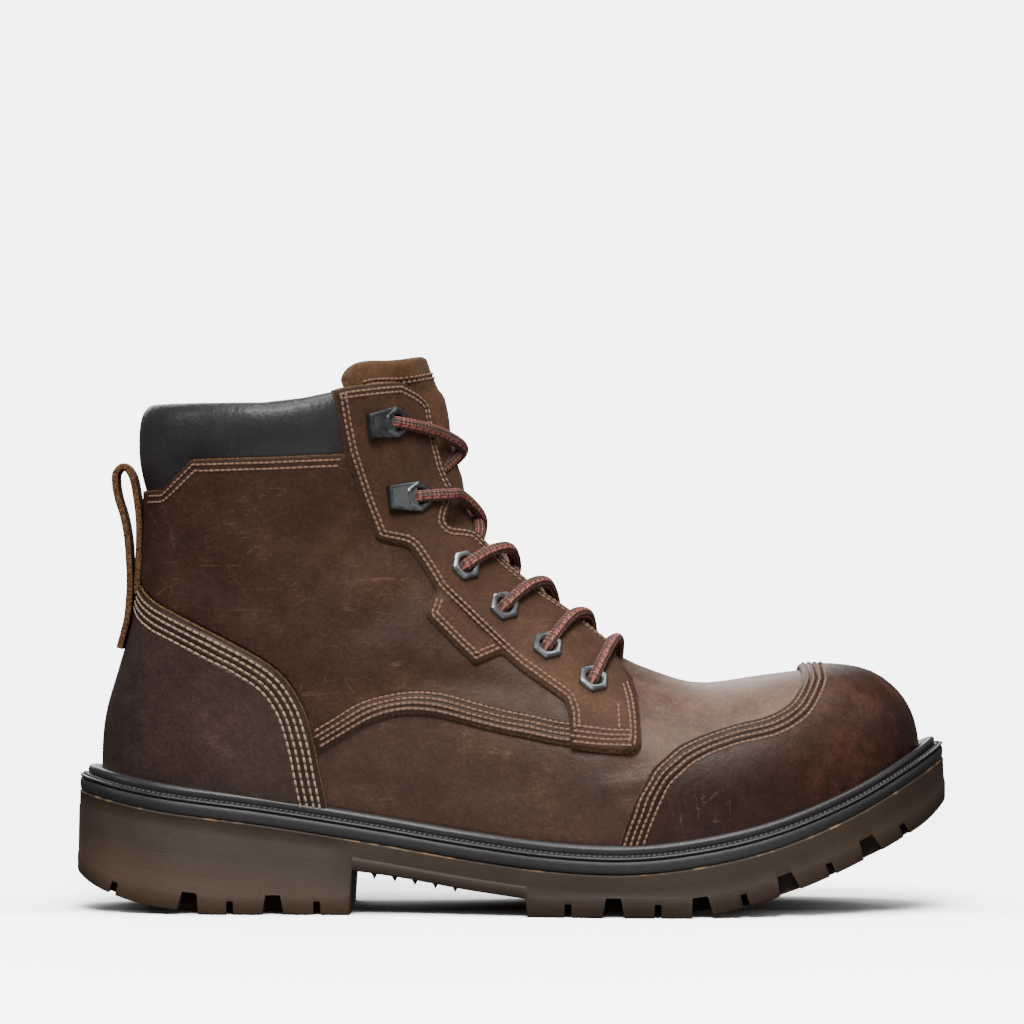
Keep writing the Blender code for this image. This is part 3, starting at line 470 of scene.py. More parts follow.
# Upper. One shaped wall of oiled brown leather from the toe to the shaft, lined with cloth and open at the
# throat. Flexing has left soft folds across the vamp and round the ankle.
SECTIONS = (
    # low x, back z, high x, high z, foot, lateral y, medial y, crest y, widest, low round, high round
    (143.2, 52.2, 143.3, 53.5, 1, 2.9, 7.0, 5.0, 0.30, 2.0, 2.2),
    (142.2, 51.6, 143.0, 60.5, 1, -2.0, 11.8, 5.0, 0.30, 2.0, 2.3),
    (139.2, 50.0, 140.8, 68.8, 1, -9.7, 19.1, 5.0, 0.30, 2.0, 2.4),
    (133.2, 46.7, 135.6, 76.6, 1, -20.1, 27.9, 5.0, 0.30, 2.0, 2.5),
    (123.8, 41.7, 125.6, 83.0, 1, -30.3, 35.7, 5.0, 0.30, 2.0, 2.5),
    (109.0, 35.1, 109.5, 84.8, 1, -39.5, 42.4, 4.5, 0.28, 2.0, 2.5),
    (90.0, 28.3, 90.0, 82.8, 1, -45.9, 46.5, 4.5, 0.26, 2.0, 2.4),
    (68.0, 23.2, 67.5, 80.0, 1, -49.2, 47.7, 5.0, 0.26, 2.0, 2.2),
    (46.0, 20.4, 51.5, 84.0, 1, -49.3, 45.6, 5.5, 0.26, 2.0, 2.1),
    (24.0, 20.4, 36.0, 91.2, 1, -46.5, 41.2, 5.5, 0.28, 2.0, 2.0),
    (0.0, 22.5, 21.0, 104.3, 1, -41.6, 36.4, 5.0, 0.30, 2.0, 2.0),
    (-28.0, 26.7, 7.0, 116.2, 1, -37.2, 34.0, 4.0, 0.32, 2.0, 2.0),
    (-60.0, 32.0, -4.2, 128.4, 1, -35.8, 34.2, 3.0, 0.36, 2.0, 2.0),
    (-92.0, 37.0, -12.0, 139.2, 1, -36.0, 35.4, 2.0, 0.40, 2.0, 2.0),
    (-120.0, 40.5, -17.3, 148.0, 1, -36.5, 36.2, 1.0, 0.43, 2.0, 2.0),
    (-137.5, 43.6, -20.6, 155.0, 1, -36.8, 36.6, 0.5, 0.45, 2.1, 2.0),
    (-143.2, 44.8, -22.6, 160.0, 1, -36.8, 36.8, 0.0, 0.46, 2.2, 2.0),
    (-144.0, 56.0, -24.2, 164.5, 0, -36.8, 36.8, 0.0, 0.47, 2.2, 2.0),
    (-142.6, 69.5, -25.8, 169.0, 0, -36.8, 36.8, 0.0, 0.47, 2.2, 2.0),
    (-138.2, 85.0, -27.2, 173.5, 0, -37.0, 37.0, 0.0, 0.47, 2.2, 2.0),
    (-133.2, 103.0, -28.7, 178.5, 0, -37.4, 37.4, 0.0, 0.48, 2.2, 2.0),
    (-130.4, 126.0, -30.4, 185.0, 0, -38.2, 38.2, 0.0, 0.48, 2.2, 2.0),
    (-130.0, 152.0, -32.2, 192.5, 0, -39.2, 39.2, 0.0, 0.48, 2.2, 2.0),
    (-130.4, 182.0, -34.6, 202.0, 0, -39.6, 39.6, 0.0, 0.48, 2.2, 2.0),
    (-130.8, 208.0, -37.0, 212.0, 0, -39.6, 39.6, 0.0, 0.48, 2.2, 2.0),
)
SIDES = (("lateral", -1), ("medial", 1))
SPAN_STEPS, HALF_STEPS = 14, 80
LAST_SECTION = len(SECTIONS) - 1
TOE_TIP = 0.05  # section number just behind the tip
UPPER_THICKNESS, UPPER_STEP = 2.2, 0.8  # its front edge lies a step behind the eyestay's
UPPER_DROP = 5.1  # its low edge below the welt's top
COLLAR_SEAM = ((-58.3, 161.5), (-86, 160.3), (-112, 159.5), (-122.5, 148.7), (-131, 148.5))
EYESTAY_TOP = ((-61.6, 183.6), (-57.7, 184.8), (-45.4, 186.5), (-38.8, 187.1))
EYESTAY_FACE, EYESTAY_BACK = 3.5, -2.4  # off the upper's face
# Half the throat's width at each section, with a notch between the eyelets and the hooks
THROAT = (
    (8.9, 4.5), (9.05, 8), (9.3, 10), (10, 11.5), (12, 13.5), (12.8, 14.3), (13.0, 15.2), (13.55, 19.4), (13.75, 19.6),
    (13.95, 17.5), (14.25, 12.9), (14.5, 12.2), (15.4, 12.2), (19, 11.8), (24, 11.6),
)
THROAT_CORNER = (20.1, 20.95)  # sections where its top corner starts to round and would end
# Folds seen from the side: x and z of the trough, depth, half width
CREASES = (
    (((30, 48), (38, 50.5), (49, 53)), 0.6, 3.4),
    (((33, 40), (43, 43), (50, 47)), 0.6, 3.0),
    (((52, 72), (55, 64), (54, 56)), 0.5, 3.6),
    (((60, 78), (64, 70), (62, 62)), 0.4, 4.0),
    (((-40, 86), (-24, 82), (-6, 80), (8, 74)), 0.6, 4.5),
    (((-62, 78), (-44, 76), (-28, 78)), 0.5, 4.0),
    (((-60, 98), (-46, 104), (-36, 116)), 0.7, 6.0),
    (((-112, 122), (-92, 112), (-70, 104)), 0.5, 7.0),
    (((-20, 50), (-2, 46), (14, 48)), 0.5, 6.0),
)
RIDGE, RIDGE_OFF = 0.6, 1.9  # ridge beside a trough: share of its depth, distance in half widths


def half_section(low_y, wide_y, crest_y, widest, low_round, high_round, height):
    """One side of a section from the low end to the crest, as even steps of (share of the height, y)."""
    bend = np.linspace(0, math.pi / 2, 120)
    low_w = widest * (1 - np.cos(bend) ** (2 / low_round))
    low_part = np.stack([low_w, low_y + (wide_y - low_y) * np.sin(bend) ** (2 / low_round)], axis=1)
    high_w = widest + (1 - widest) * np.sin(bend) ** (2 / high_round)
    high_part = np.stack([high_w, crest_y + (wide_y - crest_y) * np.cos(bend) ** (2 / high_round)], axis=1)
    line = np.vstack([low_part, high_part[1:]])
    run = np.hypot(np.diff(line[:, 0]) * height, np.diff(line[:, 1]))
    along = np.concatenate([[0], np.cumsum(run)]) / run.sum()
    steps = np.linspace(0, 1, HALF_STEPS + 1)
    return np.stack([np.interp(steps, along, line[:, 0]), np.interp(steps, along, line[:, 1])], axis=1)


def section_points(values):
    """One section of the upper: from the lateral low end over the crest to the medial low end."""
    low_x, back_z, high_x, high_z, foot, lateral, medial, crest_y, *rounds = values
    on_sole = min(max(foot, 0), 1)
    low = np.array([low_x, on_sole * (feather(low_x) - UPPER_DROP) + (1 - on_sole) * back_z])
    high = np.array([high_x, high_z])
    lows = [on_sole * y for y in rim_y(UPPER_EDGES, low_x)]
    height = np.linalg.norm(high - low)
    w, y = np.vstack([
        half_section(lows[0], lateral, crest_y, *rounds, height),
        half_section(lows[1], medial, crest_y, *rounds, height)[-2::-1],
    ]).T
    side_view = low + w[:, None] * (high - low)
    return np.stack([side_view[:, 0], y, side_view[:, 1]], axis=1)


def surface_normals(points):
    """Normals of a grid of points, straight back along the rear seam and straight ahead at the tip."""
    normals = np.cross(np.gradient(points, axis=1), np.gradient(points, axis=0))
    back_seam = np.abs(points[:, 0, 1] - points[:, -1, 1]) < 1.5
    normals[np.ix_(back_seam, [0, -1], [1])] = 0
    normals[0] = (1, 0, 0)
    return normals / np.linalg.norm(normals, axis=2, keepdims=True)


def ease_heel(points):
    """Evens out the turn from the side of the heel to its back, just above the sole."""
    rows, columns = np.arange(len(points)) / SPAN_STEPS, np.abs(np.linspace(-1, 1, points.shape[1]))
    low_rows = np.interp(rows, (13.4, 14.8, 18, 19.4), (0, 1, 1, 0))
    share = np.outer(low_rows, np.interp(columns, (0.4, 0.6, 0.96, 1), (0, 1, 1, 0)))
    for _ in range(80):
        mean = points.copy()
        mean[1:-1, 1:-1] = (points[2:, 1:-1] + points[:-2, 1:-1] + points[1:-1, 2:] + points[1:-1, :-2]) / 4
        points = points + (mean - points) * share[..., None]
    return points


UPPER_EDGES = rim_inset(upper_reach)
LAST = ease_heel(np.array([section_points(values) for values in spline(SECTIONS, SPAN_STEPS)]))
LAST_NORMALS = surface_normals(LAST)


def surface(uv):
    """Points and normals of the upper's face at places (section number, -1 lateral to 1 medial)."""
    u = np.clip(uv[:, 0] * SPAN_STEPS, 0, len(LAST) - 1.001)
    v = np.clip((uv[:, 1] + 1) * HALF_STEPS, 0, 2 * HALF_STEPS - 0.001)
    i, j = u.astype(int), v.astype(int)
    a, b = (u - i)[:, None], (v - j)[:, None]
    found = []
    for grid in (LAST, LAST_NORMALS):
        low = grid[i, j] * (1 - a) + grid[i + 1, j] * a
        found.append(low * (1 - b) + (grid[i, j + 1] * (1 - a) + grid[i + 1, j + 1] * a) * b)
    return found[0], found[1] / np.linalg.norm(found[1], axis=1, keepdims=True)


def slopes(uv):
    """How the face's points move with each of the two numbers of a place."""
    found = []
    for axis, step, low, high in ((0, 0.04, 0, LAST_SECTION), (1, 0.006, -1, 1)):
        ahead, behind = uv.copy(), uv.copy()
        ahead[:, axis] = np.minimum(uv[:, axis] + step, high)
        behind[:, axis] = np.maximum(uv[:, axis] - step, low)
        run = (ahead - behind)[:, axis][:, None]
        found.append((surface(ahead)[0] - surface(behind)[0]) / run)
    return np.stack(found, axis=2)


def place(x, z, side):
    """Place of the upper that shows at x, z from that side: -1 lateral, 1 medial."""
    columns = slice(0, HALF_STEPS + 1) if side < 0 else slice(HALF_STEPS, None)
    miss = np.hypot(LAST[:, columns, 0] - x, LAST[:, columns, 2] - z)
    i, j = np.unravel_index(miss.argmin(), miss.shape)
    uv = np.array([[i / SPAN_STEPS, j / HALF_STEPS - (1 if side < 0 else 0)]])
    for _ in range(3):
        gap = np.array([x, z]) - surface(uv)[0][0, [0, 2]]
        step = np.linalg.lstsq(slopes(uv)[0][[0, 2]], gap, rcond=0.02)[0]
        uv[0] += np.clip(step, (-0.2, -0.03), (0.2, 0.03))
        uv[0] = np.clip(uv[0], (0, -1), (LAST_SECTION, 1))
    return uv[0]


def seat(x, z, side, lift):
    """Place of the upper where a point that far off its face shows at x, z from that side."""
    asked = np.array([x, z], float)
    for _ in range(4):
        uv = place(*asked, side)
        point, normal = (a[0] for a in surface(uv[None]))
        asked += (x, z) - (point + lift * normal)[[0, 2]]
    return uv


def side_line(rows, side, smooth=True, lift=0.0):
    """Places along a line drawn in the side view, on leather that thick."""
    if smooth:
        rows = spline(rows, 10)
    spots = np.vstack([even(np.asarray(rows, float), 1.5)[0], rows[-1:]])
    return np.array([seat(x, z, side, lift) if lift else place(x, z, side) for x, z in spots])


def straight(start, end, count):
    """That many places on the straight line between two places."""
    return np.stack([np.linspace(a, b, count) for a, b in zip(start, end)], axis=1)


def walk(uv, distance, side=-1):
    """A line moved sideways over the face, to the left of its run as seen from the lateral side."""
    uv = uv.copy()
    steps = max(1, math.ceil(abs(distance) / 1.5))
    for _ in range(steps):
        points, normals = surface(uv)
        run = np.gradient(points, axis=0)
        for _ in range(2):
            run[1:-1] = (run[:-2] + 2 * run[1:-1] + run[2:]) / 4
        left = np.cross(normals, run) * -side
        left /= np.linalg.norm(left, axis=1, keepdims=True) + 1e-9
        for k, slope in enumerate(slopes(uv)):
            uv[k] += np.linalg.lstsq(slope, left[k] * distance / steps, rcond=0.02)[0]
    return np.clip(uv, (0, -1), (LAST_SECTION, 1))


def lookup(rows, at):
    """Value at a place between rows of (place, value)."""
    return np.interp(at, *np.array(rows).T)


def throat_line(first, last, side):
    """Places along the throat's edge, from the vamp up."""
    v = np.linspace(0, 0.6, 60) * side
    found = []
    for u in np.linspace(first, last, 150):
        y = surface(np.stack([np.full(60, u), v], axis=1))[0][:, 1]
        found.append((u, side * np.interp(lookup(THROAT, u), np.abs(y - y[0]), np.abs(v))))
    return np.array(found)


def front_edge(side, low):
    """Places along the front edge of the shaft: over its rounded top corner and down the throat to the vamp."""
    top = side_line(EYESTAY_TOP, side, lift=EYESTAY_FACE)
    throat = throat_line(low, THROAT_CORNER[0], side)[::-1]
    corner, share = throat_line(*THROAT_CORNER, side)[-1], np.linspace(0, 1, 12)[1:-1, None]
    bend = (1 - share) ** 2 * top[-1] + 2 * share * (1 - share) * corner + share**2 * throat[0]
    return np.vstack([top, bend, throat])


for trough, depth, width in CREASES:
    for _, side in SIDES:
        line = surface(side_line(trough, side))[0]
        away = np.linalg.norm(LAST[:, :, None] - line, axis=3)
        nearest, miss = away.argmin(axis=2), away.min(axis=2)
        fade = np.sin(np.pi * np.linspace(0.06, 0.94, len(line)))[nearest] ** 0.7
        fold = RIDGE * np.exp(-(((miss - RIDGE_OFF * width) / width) ** 2)) - np.exp(-((miss / width) ** 2))
        LAST += LAST_NORMALS * (depth * fade * fold)[..., None]
LAST_NORMALS = surface_normals(LAST)

EDGE_ROUND = ((0.55, 0.06), (0.2, 0.26), (0.02, 0.55))  # share of the rounding, share of the thickness down
CUT_ROUND = (*EDGE_ROUND, (0.0, 1.0))
PAD_ROUND = ((0.6, 0.06), (0.25, 0.2), (0.06, 0.38), (0.0, 0.5), (0.06, 0.66), (0.25, 0.84), (0.6, 0.96))
HEM_DROP = 5.2  # foot of a panel's hem below the welt's top
STRETCH = np.array([7.5, 100.0])  # millimetres, roughly, to a section and from the crest to a low end
MESH = 2.3  # spacing of the points inside a panel
LOW_END = 0.999  # a place this far round is at a low end


def unfolded(outline):
    """A closed line of places, one way round, without repeats and stretches that run back on themselves."""
    outline = outline[np.linalg.norm(np.diff(outline, axis=0, append=outline[:1]), axis=1) > 1e-5]
    folded = np.ones(1, bool)
    while folded.any():
        before, after = outline - np.roll(outline, 1, axis=0), np.roll(outline, -1, axis=0) - outline
        turned = before[:, 0] * after[:, 1] - before[:, 1] * after[:, 0]
        folded = (np.abs(turned) < 1e-9) & ((before * after).sum(axis=1) < 0)
        outline = outline[~folded]
    flat = (outline * STRETCH)[:, ::-1]
    following = np.roll(flat, -1, axis=0)
    turned = (flat[:, 0] * following[:, 1] - flat[:, 1] * following[:, 0]).sum()
    return outline[::-1] if turned < 0 else outline


def fill(flat):
    """Triangles between a closed flat line and a grid of points inside it: points, faces and the line's numbers."""
    spans = [np.arange(a + 0.7, b, MESH) for a, b in zip(flat.min(axis=0), flat.max(axis=0))]
    grid = np.stack(np.meshgrid(*spans), axis=-1)
    grid[::2, :, 0] += MESH / 2
    grid = grid.reshape(-1, 2)
    inside, nearest = np.zeros(len(grid), bool), np.full(len(grid), 1e9)
    for a, b in zip(flat, np.roll(flat, -1, axis=0)):
        run = b - a
        if run[1]:
            passed = (a[1] > grid[:, 1]) != (b[1] > grid[:, 1])
            inside ^= passed & (grid[:, 0] < run[0] * (grid[:, 1] - a[1]) / run[1] + a[0])
        share = np.clip(((grid - a) @ run) / max(run @ run, 1e-9), 0, 1)
        nearest = np.minimum(nearest, np.linalg.norm(grid - a - share[:, None] * run, axis=1))
    grid = grid[inside & (nearest > 0.55 * MESH)]
    corners = [Vector(p) for p in np.vstack([flat, grid])]
    found = geometry.delaunay_2d_cdt(corners, [], [list(range(len(flat)))], 1, 1e-5)
    number = {source: k for k, sources in enumerate(found[3]) for source in sources}
    points = np.array([tuple(p) for p in found[0]])
    return points, [tuple(f) for f in found[2]], [number[i] for i in range(len(flat))]


def seam_distance(points, seams):
    """How far each point lies from the nearest of some lines of places."""
    found = np.full(len(points), 99.0)
    for line in seams:
        line = even(surface(line)[0], 0.6)[0]
        for part in np.array_split(np.arange(len(points)), 8):
            gap = np.linalg.norm(points[part][:, None] - line, axis=2).min(axis=1)
            found[part] = np.minimum(found[part], gap)
    return found


def panel(name, outline, low, high, finish, nodes, slot, tone, rimmed=None, rounding=0.9, edge=CUT_ROUND, seams=(),
          hem=None, grazed=None):
    """A sheet of leather inside a closed line of places, from low to high off the upper's face, with rounded edges."""
    outline = unfolded(outline)
    count = len(outline)
    has_rim = rimmed(outline) if rimmed else np.ones(count, bool)
    looped = np.vstack([outline[-3:], outline, outline[:3]])
    inner = np.where(has_rim[:, None], walk(looped, rounding)[3:-3], outline)
    flats, faces, bound = fill((inner * STRETCH)[:, ::-1])
    uv = flats[:, ::-1] / STRETCH
    base, normals = surface(uv)
    edge_base, edge_normals = surface(outline)
    inner_base = surface(inner)[0]
    lift, back_lift = (at(uv, base) if callable(at) else np.full(len(uv), at) for at in (high, low))
    rim_lift = lift[bound]
    thick = rim_lift - back_lift[bound]

    # Face, rounded edge, back and hem: points, and how much of the raw cut shows there
    layers = [(base + normals * lift[:, None], 0.0)]
    rows, total = [bound], len(uv)
    for share, down in edge:
        at = edge_base + (inner_base - edge_base) * share
        layers.append((at + edge_normals * (rim_lift - down * thick)[:, None], 1.0 if down > 0.1 else 0.35))
        rows.append(range(total, total + count))
        total += count
    layers.append((base + normals * back_lift[:, None], 0.0))
    rows.append([total + k for k in bound])
    back = [tuple(total + k for k in f[::-1]) for f in faces]
    total += len(uv)
    if hem:
        foot = np.stack([edge_base[:, 0], edge_base[:, 1], feather(edge_base[:, 0]) - HEM_DROP], axis=1)
        layers.append((foot + edge_normals * (1, 1, 0) * rim_lift[:, None], 0.0))

    # Each stretch of the outline goes to the back by the rounded edge, by the hem or straight
    profiles = []
    for i in range(count):
        ends = [i, (i + 1) % count]
        if has_rim[ends].all():
            profiles.append(rows)
        elif hem and hem(outline[ends]).all():
            profiles.append([bound, range(total, total + count), rows[-1]])
        else:
            profiles.append([bound, rows[-1]])
    walls = []
    for i, profile in enumerate(profiles):
        j = (i + 1) % count
        walls += [(upper[j], upper[i], lower[i], lower[j]) for upper, lower in zip(profile, profile[1:])]
        if len(profiles[i - 1]) != len(profile):
            walls.append(tuple(row[i] for row in (*profiles[i - 1], *profile[-2:0:-1])))
    sheet = faces + walls + back
    used = sorted({k for f in sheet for k in f})
    number = {k: n for n, k in enumerate(used)}
    sheet = [tuple(number[k] for k in f) for f in sheet]
    points = np.vstack([layer for layer, _ in layers])[used]
    rims = np.concatenate([np.full(len(layer), raw) for layer, raw in layers])[used]
    marks = {"rim": rims, "tone": tone(*points.T), "seam": seam_distance(points, seams)}
    if grazed:
        marks["graze"] = grazed(*points.T)
    obj = piece(name, points, sheet, finish, nodes, slot, marks, 55)
    kinds = np.zeros(len(sheet), np.int32)
    kinds[len(faces) + len(walls):] = len(obj.data.materials) - 1
    obj.data.polygons.foreach_set("material_index", kinds)
    return obj


def patchy(base, *patches):
    """Values over the boot: a base with soft patches of (amount, x, z, width, height) in the side view."""
    def value(x, _, z):
        return base + sum(
            amount * np.exp(-(((x - at_x) / wide) ** 2 + ((z - at_z) / high) ** 2))
            for amount, at_x, at_z, wide, high in patches)
    return value


def leather(name, dark, middle, light, raw_edge, roughness, scuffs=0.5, nap=0.0, rows=(), run=(70.0, 70.0, 520.0),
            sheen=0.25, hairs=(60.0, 60.0, 190.0)):
    """Oiled leather: clouded from dark to a warmer pull-up colour, scuffed pale in fine lines, raw at its cut edges."""
    made, tree, shader, where = new_material(
        name, roughness, Specular_IOR_Level=sheen, Specular_Tint=linear("fff0e2"), Sheen_Weight=nap,
        Sheen_Roughness=0.5)
    tone, rim, graze, seam = (
        add(tree, "Attribute", attribute_name=key)["Fac"] for key in ("tone", "rim", "graze", "seam"))

    # Clouds, smudges and the panel's tone shift it between three colours; on the vamp and the cap the tone holds a
    # painted highlight
    cloud = noise(tree, where, 34.0, 6.0, 0.62, Distortion=0.5)
    smudge = noise(tree, where, 170.0, 6.0, 0.72)
    shade = maths(tree, "MULTIPLY_ADD", smudge, 0.6, maths(tree, "MULTIPLY_ADD", cloud, 0.8, -0.45))
    shade = maths(tree, "SUBTRACT", maths(tree, "ADD", shade, tone), 0.25)
    body = mix(tree, ramp(tree, shade, 0.0, 0.5), dark, middle)
    body = mix(tree, ramp(tree, shade, 0.5, 1.0), body, light)

    # Pale scuffs in patches: short grazes one way, and long hair-fine scratches that wander
    grazed = add(tree, "Mapping", {"Vector": where, "Rotation": (0.1, 0.25, 0.1), "Scale": run})[0]
    lines = ramp(tree, noise(tree, grazed, 1.0, 6.0, 0.7, Distortion=0.8), 0.6, 0.7)
    sway = add(tree, "TexNoise", {"Vector": where, "Scale": 90.0, "Detail": 3.0})[1]
    swayed = add(tree, "VectorMath", {0: sway, 1: (0.007, 0.007, 0.007), 2: where}, operation="MULTIPLY_ADD")[0]
    drawn = add(tree, "Mapping", {"Vector": swayed, "Scale": hairs})[0]
    cells = add(tree, "TexVoronoi", {"Vector": drawn, "Scale": 1.0}, feature="DISTANCE_TO_EDGE")[0]
    hair = maths(tree, "MULTIPLY", ramp(tree, cells, 0.0, 0.03, 0.55, 0.0), ramp(tree, smudge, 0.47, 0.57))
    patches = maths(tree, "MULTIPLY", ramp(tree, cloud, 0.42, 0.62, 0.1, 1.0), scuffs)
    patches = maths(tree, "MAXIMUM", patches, graze)
    scuff = maths(tree, "MULTIPLY", maths(tree, "MAXIMUM", lines, hair), patches)
    body = mix(tree, scuff, body, "846a5a")

    # Loose pale fibres at the cut edges
    fibre = noise(tree, where, 1500.0, 3.0)
    raw = ramp(tree, maths(tree, "MULTIPLY", fibre, rim), 0.15, 0.5)
    body = mix(tree, raw, body, mix(tree, ramp(tree, fibre, 0.35, 0.65, 0.25, 1.0), dark, raw_edge))

    # Pores vary the colour at random. The grain is lighter on its raised cells and darker in the creases between,
    # partly wear and partly painted shade, and the sunken rows of stitches are darkened in their trenches as painted
    # shade
    grain = add(tree, "TexVoronoi", {"Vector": where, "Scale": 800.0, "Randomness": 1.0}, feature="SMOOTH_F1")[0]
    shaded = maths(
        tree, "MULTIPLY", ramp(tree, fibre, 0.3, 0.7, 0.86, 1.14), ramp(tree, grain, 0.15, 0.6, 1.07, 0.84))
    heights = [(noise(tree, where, 60.0, 3.0), 0.0003)]
    if rows:
        gaps = [maths(tree, "ABSOLUTE", maths(tree, "SUBTRACT", seam, row)) for row in rows]
        sunk, *others = (ramp(tree, gap, 0.1, 1.05, interpolation_type="SMOOTHSTEP") for gap in gaps)
        for other in others:
            sunk = maths(tree, "MINIMUM", sunk, other)
        # Painted shade darkens the leather along the stitch trenches
        shaded = maths(tree, "MULTIPLY", ramp(tree, sunk, 0.0, 1.0, 0.62, 1.0), shaded)
        heights.append((sunk, 0.0003))
    body = mix(tree, 1.0, body, shaded, blend_type="MULTIPLY")
    tree.links.new(body, shader.inputs["Base Color"])
    gloss = ramp(tree, smudge, 0.3, 0.7, roughness - 0.07, roughness + 0.1)
    tree.links.new(gloss, shader.inputs["Roughness"])
    bump(tree, shader, *heights, (smudge, 0.00016), (grain, 0.00007), (scuff, 0.00006), (raw, 0.0003),
         (fibre, 0.00005))
    return made


def lining_cloth():
    """Dark knitted lining with a dull nap."""
    made, tree, shader, where = new_material("lining_knit", 0.95)
    knit = add(tree, "TexVoronoi", {"Vector": where, "Scale": 800.0, "Randomness": 0.4})[0]
    tree.links.new(mix(tree, knit, "4a4037", "2b2622"), shader.inputs["Base Color"])
    bump(tree, shader, (knit, 0.0003))
    return made


# Vamp tone: lighter over the top of the forefoot as a painted highlight of the sheen there, darker in two patches low
# down. The vamp's pale, greyish light colour serves that painted highlight as well as the pull-up.
VAMP_TONE_AND_HIGHLIGHT = patchy(0.4, (0.44, 80, 80, 36, 20), (-0.2, 34, 44, 14, 8), (-0.1, -22, 46, 42, 12))
VAMP_LEATHER = leather("vamp_oiled_leather", "281a14", "462e23", "856857", "8a6544", 0.52, 0.28, sheen=0.42)
LINING = lining_cloth()
VAMP_TOP, RIM_FROM = 8.85, 8.88  # sections where the vamp ends on the crest and where the throat's edge begins
seam_top = place(*COLLAR_SEAM[-1], -1)[0]
for word, side in SIDES:
    low_line = straight((TOE_TIP, side), (seam_top, side), 200)
    collar_line = side_line(COLLAR_SEAM[::-1], side, smooth=False)
    crest = straight((VAMP_TOP, 0), (TOE_TIP, 0), 80)
    outline = np.vstack([low_line, collar_line[1:], walk(front_edge(side, THROAT[0][0]), -UPPER_STEP, side), crest])
    panel(f"upper_wall_{word}", outline, -UPPER_THICKNESS, 0.0, [VAMP_LEATHER, LINING], ["upper"], "vamp_leather",
          VAMP_TONE_AND_HIGHLIGHT, lambda uv: (uv[:, 0] > RIM_FROM) & (np.abs(uv[:, 1]) < 0.995), 0.6, EDGE_ROUND)

# Toe cap. A burnished leather cap covers the hard toe, nearly black at the welt and reddish on top, lighter there both
# as rubbed wear and as a painted highlight. Four close rows of thread hold its rear edge to the vamp.
CAP_EDGE = (
    (36.5, 22), (37.7, 26.3), (41.1, 35.9), (44.8, 44.2), (48.6, 50.7), (53.4, 55.1), (59.1, 59.2), (66.7, 62.4),
    (77, 65.6), (88.7, 68.5), (96.4, 72.3), (100.4, 76.8), (102.6, 80.5),
)
CAP_ROWS = (1.9, 3.9, 5.9, 8.0)  # off the cap's edge
CAP_THICKNESS = 2.2
TIP_SECTIONS = 0.2  # no cut edge this close to the tip
# Cap tone: lighter on top of the toe, partly rubbed wear and partly a painted highlight, and darker low down near the
# welt
CAP_TONE_AND_HIGHLIGHT = patchy(0.36, (0.2, 118, 78, 26, 12), (0.22, 118, 52, 30, 16), (-0.18, 72, 44, 22, 14))


def cotton_thread(name, dark, light):
    """Waxed thread, flecked between a dark and a pale colour."""
    return flecked(name, 0.7, dark, light, 400.0, 3.0, Specular_IOR_Level=0.2)[0]


def rows_along(uv, distances, side, lift):
    """Stitch lines at distances from a line of places."""
    found = []
    for distance in distances:
        points, normals = surface(walk(uv, distance, side))
        found.append((points + normals * lift, normals))
    return found


THREAD = cotton_thread("waxed_tan_thread", "5c4438", "957562")
CAP_LEATHER = leather("cap_burnished_leather", "1d1210", "36211a", "623d2f", "8f6a4a", 0.46, 0.12, rows=CAP_ROWS,
                      run=(520.0, 520.0, 60.0), hairs=(240.0, 240.0, 36.0))
left, right = side_line(CAP_EDGE, -1), side_line(CAP_EDGE, 1)
cap_line = np.vstack([left, straight(left[-1], right[-1], 24)[1:-1], right[::-1]])
low_left, low_right = straight((TOE_TIP, -1), (left[0, 0], -1), 120), straight((right[0, 0], 1), (TOE_TIP, 1), 120)
tip = straight((TOE_TIP, 1), (TOE_TIP, -1), 60)
outline = np.vstack([low_left, cap_line[1:-1], low_right, tip[1:-1]])
panel("toe_cap_leather", outline, 0.0, CAP_THICKNESS, CAP_LEATHER, ["toe_cap"], "cap_leather", CAP_TONE_AND_HIGHLIGHT,
      lambda uv: (uv[:, 0] > TIP_SECTIONS) & (np.abs(uv[:, 1]) < LOW_END), seams=[cap_line],
      grazed=patchy(0.0, (0.8, 66, 38, 9, 9)))
stitches("toe_cap_stitching", rows_along(cap_line, [-row for row in CAP_ROWS], -1, CAP_THICKNESS), THREAD,
         slot="cap_leather")

# Heel counter. The same burnished leather wraps the heel in two halves that meet at the back, held at its upper edge by
# two pairs of rows. Its hem goes down behind the welt.
COUNTER_EDGE = (
    (-134.3, 121.7), (-129.9, 113.8), (-124.2, 108.6), (-114.4, 103.6), (-100.7, 96.6), (-87.4, 89.3), (-80, 83.3),
    (-74.8, 75.8), (-71.8, 68.8), (-69.0, 58.4), (-67.2, 49.2), (-65.2, 40), (-64.4, 34),
)
COUNTER_ROWS = (2.4, 4.5, 6.8, 9.0)
COUNTER_THICKNESS = 2.2
COUNTER_TONE = patchy(0.34, (0.2, -95, 66, 26, 18), (-0.12, -130, 80, 12, 30))
HEM_SECTIONS = 17.2  # the hem goes round the heel below this section

